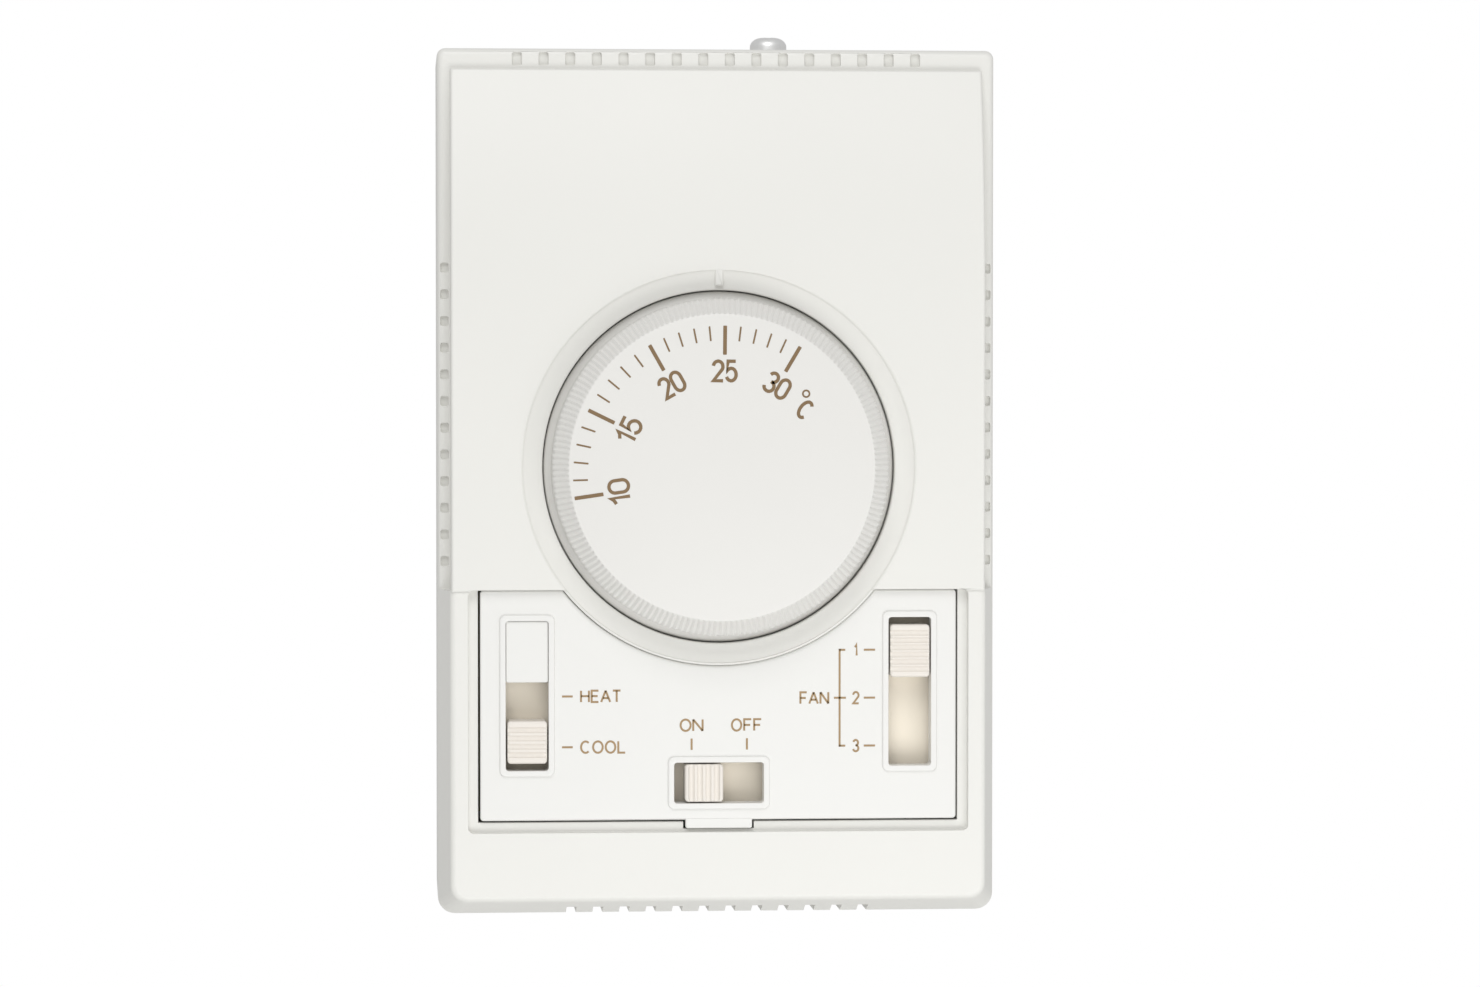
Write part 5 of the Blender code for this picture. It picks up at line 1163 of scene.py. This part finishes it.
# ---------------------------------------------------------------- camera, lights and floor
class THERMOSTAT_OT_camera(bpy.types.Operator):
    """Camera in front of the thermostat, a little to the left and above"""
    bl_idname = "thermostat.camera"
    bl_label = "Camera"

    def execute(self, context):
        data = bpy.data.cameras.new("Camera")
        data.lens, data.sensor_width = 111.6, 36.0
        camera = bpy.data.objects.new("Camera", data)
        context.scene.collection.objects.link(camera)
        camera.location = (-0.0471, -0.7139, 0.0153)
        camera.rotation_euler = (math.radians(88.58), 0, math.radians(-4.20))
        context.scene.camera = camera
        return {"FINISHED"}


class THERMOSTAT_OT_stage(bpy.types.Operator):
    """Plain pale floor and soft studio light"""
    bl_idname = "thermostat.stage"
    bl_label = "Floor and Light"

    def execute(self, context):
        floor_z = CAD_BOX[0].z - 0.18
        bpy.ops.object.select_all(action="DESELECT")
        bpy.ops.mesh.primitive_plane_add(size=1.6, location=(0, 0, floor_z))
        floor = bpy.context.object
        floor.name = "floor"
        look, tree, shader, bump = new_look("Pale floor")
        skin = group_node(tree, GROUPS["skin"], {"Grain Scale": 300.0, "Patch Scale": 3.0})
        tree.links.new(two_tone(tree, skin.outputs["Patches"], (0.84, 0.84, 0.83),
                                (0.80, 0.80, 0.79)), shader.inputs["Base Color"])
        tree.links.new(skin.outputs["Height"], bump.inputs["Height"])
        bump.inputs["Distance"].default_value = 0.02 * MM
        shader.inputs["Roughness"].default_value = 0.7
        floor.data.materials.append(look)
        apply_place(floor)
        world = bpy.data.worlds.new("Studio")
        world.use_nodes = True
        studio = world.node_tree
        background = studio.nodes["Background"]
        background.inputs["Color"].default_value = (1.0, 1.0, 1.0, 1)
        background.inputs["Strength"].default_value = 0.61
        backdrop = studio.nodes.new("ShaderNodeBackground")
        backdrop.inputs["Color"].default_value = (1.0, 1.0, 1.0, 1)
        backdrop.inputs["Strength"].default_value = 1.0
        seen = studio.nodes.new("ShaderNodeLightPath")
        share = studio.nodes.new("ShaderNodeMixShader")
        studio.links.new(seen.outputs["Is Camera Ray"], share.inputs["Fac"])
        studio.links.new(background.outputs[0], share.inputs[1])
        studio.links.new(backdrop.outputs[0], share.inputs[2])
        studio.links.new(share.outputs[0], studio.nodes["World Output"].inputs["Surface"])
        context.scene.world = world
        context.scene.view_settings.view_transform = "Standard"
        for name, place, aim, width, power in (
                ("Key", (-0.08, -0.62, 0.56), (0, 0, 0.03), 0.4, 2.0),
                ("Low", (0.06, -0.26, -0.26), (0, 0, -0.04), 0.35, 1.05)):
            data = bpy.data.lights.new(name, "AREA")
            data.shape, data.size, data.energy = "SQUARE", width, power
            lamp = bpy.data.objects.new(name, data)
            context.scene.collection.objects.link(lamp)
            lamp.location = place
            lamp.rotation_euler = (Vector(aim) - Vector(place)).to_track_quat("-Z", "Y").to_euler()
        return {"FINISHED"}


# ---------------------------------------------------------------- add-on
OPERATORS = (THERMOSTAT_OT_camera, THERMOSTAT_OT_front_cover, THERMOSTAT_OT_dial,
             THERMOSTAT_OT_dial_scale, THERMOSTAT_OT_control_panel, THERMOSTAT_OT_panel_print,
             THERMOSTAT_OT_slide_knobs, THERMOSTAT_OT_cover_screw, THERMOSTAT_OT_works,
             THERMOSTAT_OT_stage)
GROUPS_OF_SIZES = (("thermostat_cover", CoverSizes), ("thermostat_dial", DialSizes),
                   ("thermostat_panel", PanelSizes), ("thermostat_finishes", Finishes))


class THERMOSTAT_PT_pieces(bpy.types.Panel):
    """The pieces of the thermostat and their sizes"""
    bl_idname = "THERMOSTAT_PT_pieces"
    bl_label = "Thermostat"
    bl_space_type = "VIEW_3D"
    bl_region_type = "UI"
    bl_category = "Thermostat"

    def draw(self, context):
        for operator in OPERATORS:
            self.layout.operator(operator.bl_idname)
        for name, group in GROUPS_OF_SIZES:
            box = self.layout.box()
            for key in group.__annotations__:
                box.prop(getattr(context.scene, name), key)


def register():
    for name, group in GROUPS_OF_SIZES:
        bpy.utils.register_class(group)
        setattr(bpy.types.Scene, name, PointerProperty(type=group))
    for item in (*OPERATORS, THERMOSTAT_PT_pieces):
        bpy.utils.register_class(item)


def unregister():
    for item in reversed((*OPERATORS, THERMOSTAT_PT_pieces)):
        bpy.utils.unregister_class(item)
    for name, group in reversed(GROUPS_OF_SIZES):
        delattr(bpy.types.Scene, name)
        bpy.utils.unregister_class(group)


def main():
    """Builds every piece in order."""
    register()
    make_looks()
    bpy.ops.thermostat.camera()
    bpy.ops.thermostat.front_cover()
    bpy.ops.thermostat.dial()
    bpy.ops.thermostat.dial_scale()
    bpy.ops.thermostat.control_panel()
    bpy.ops.thermostat.panel_print()
    bpy.ops.thermostat.slide_knobs()
    bpy.ops.thermostat.cover_screw()
    bpy.ops.thermostat.works()
    bpy.ops.thermostat.stage()


if __name__ == "__main__":
    main()
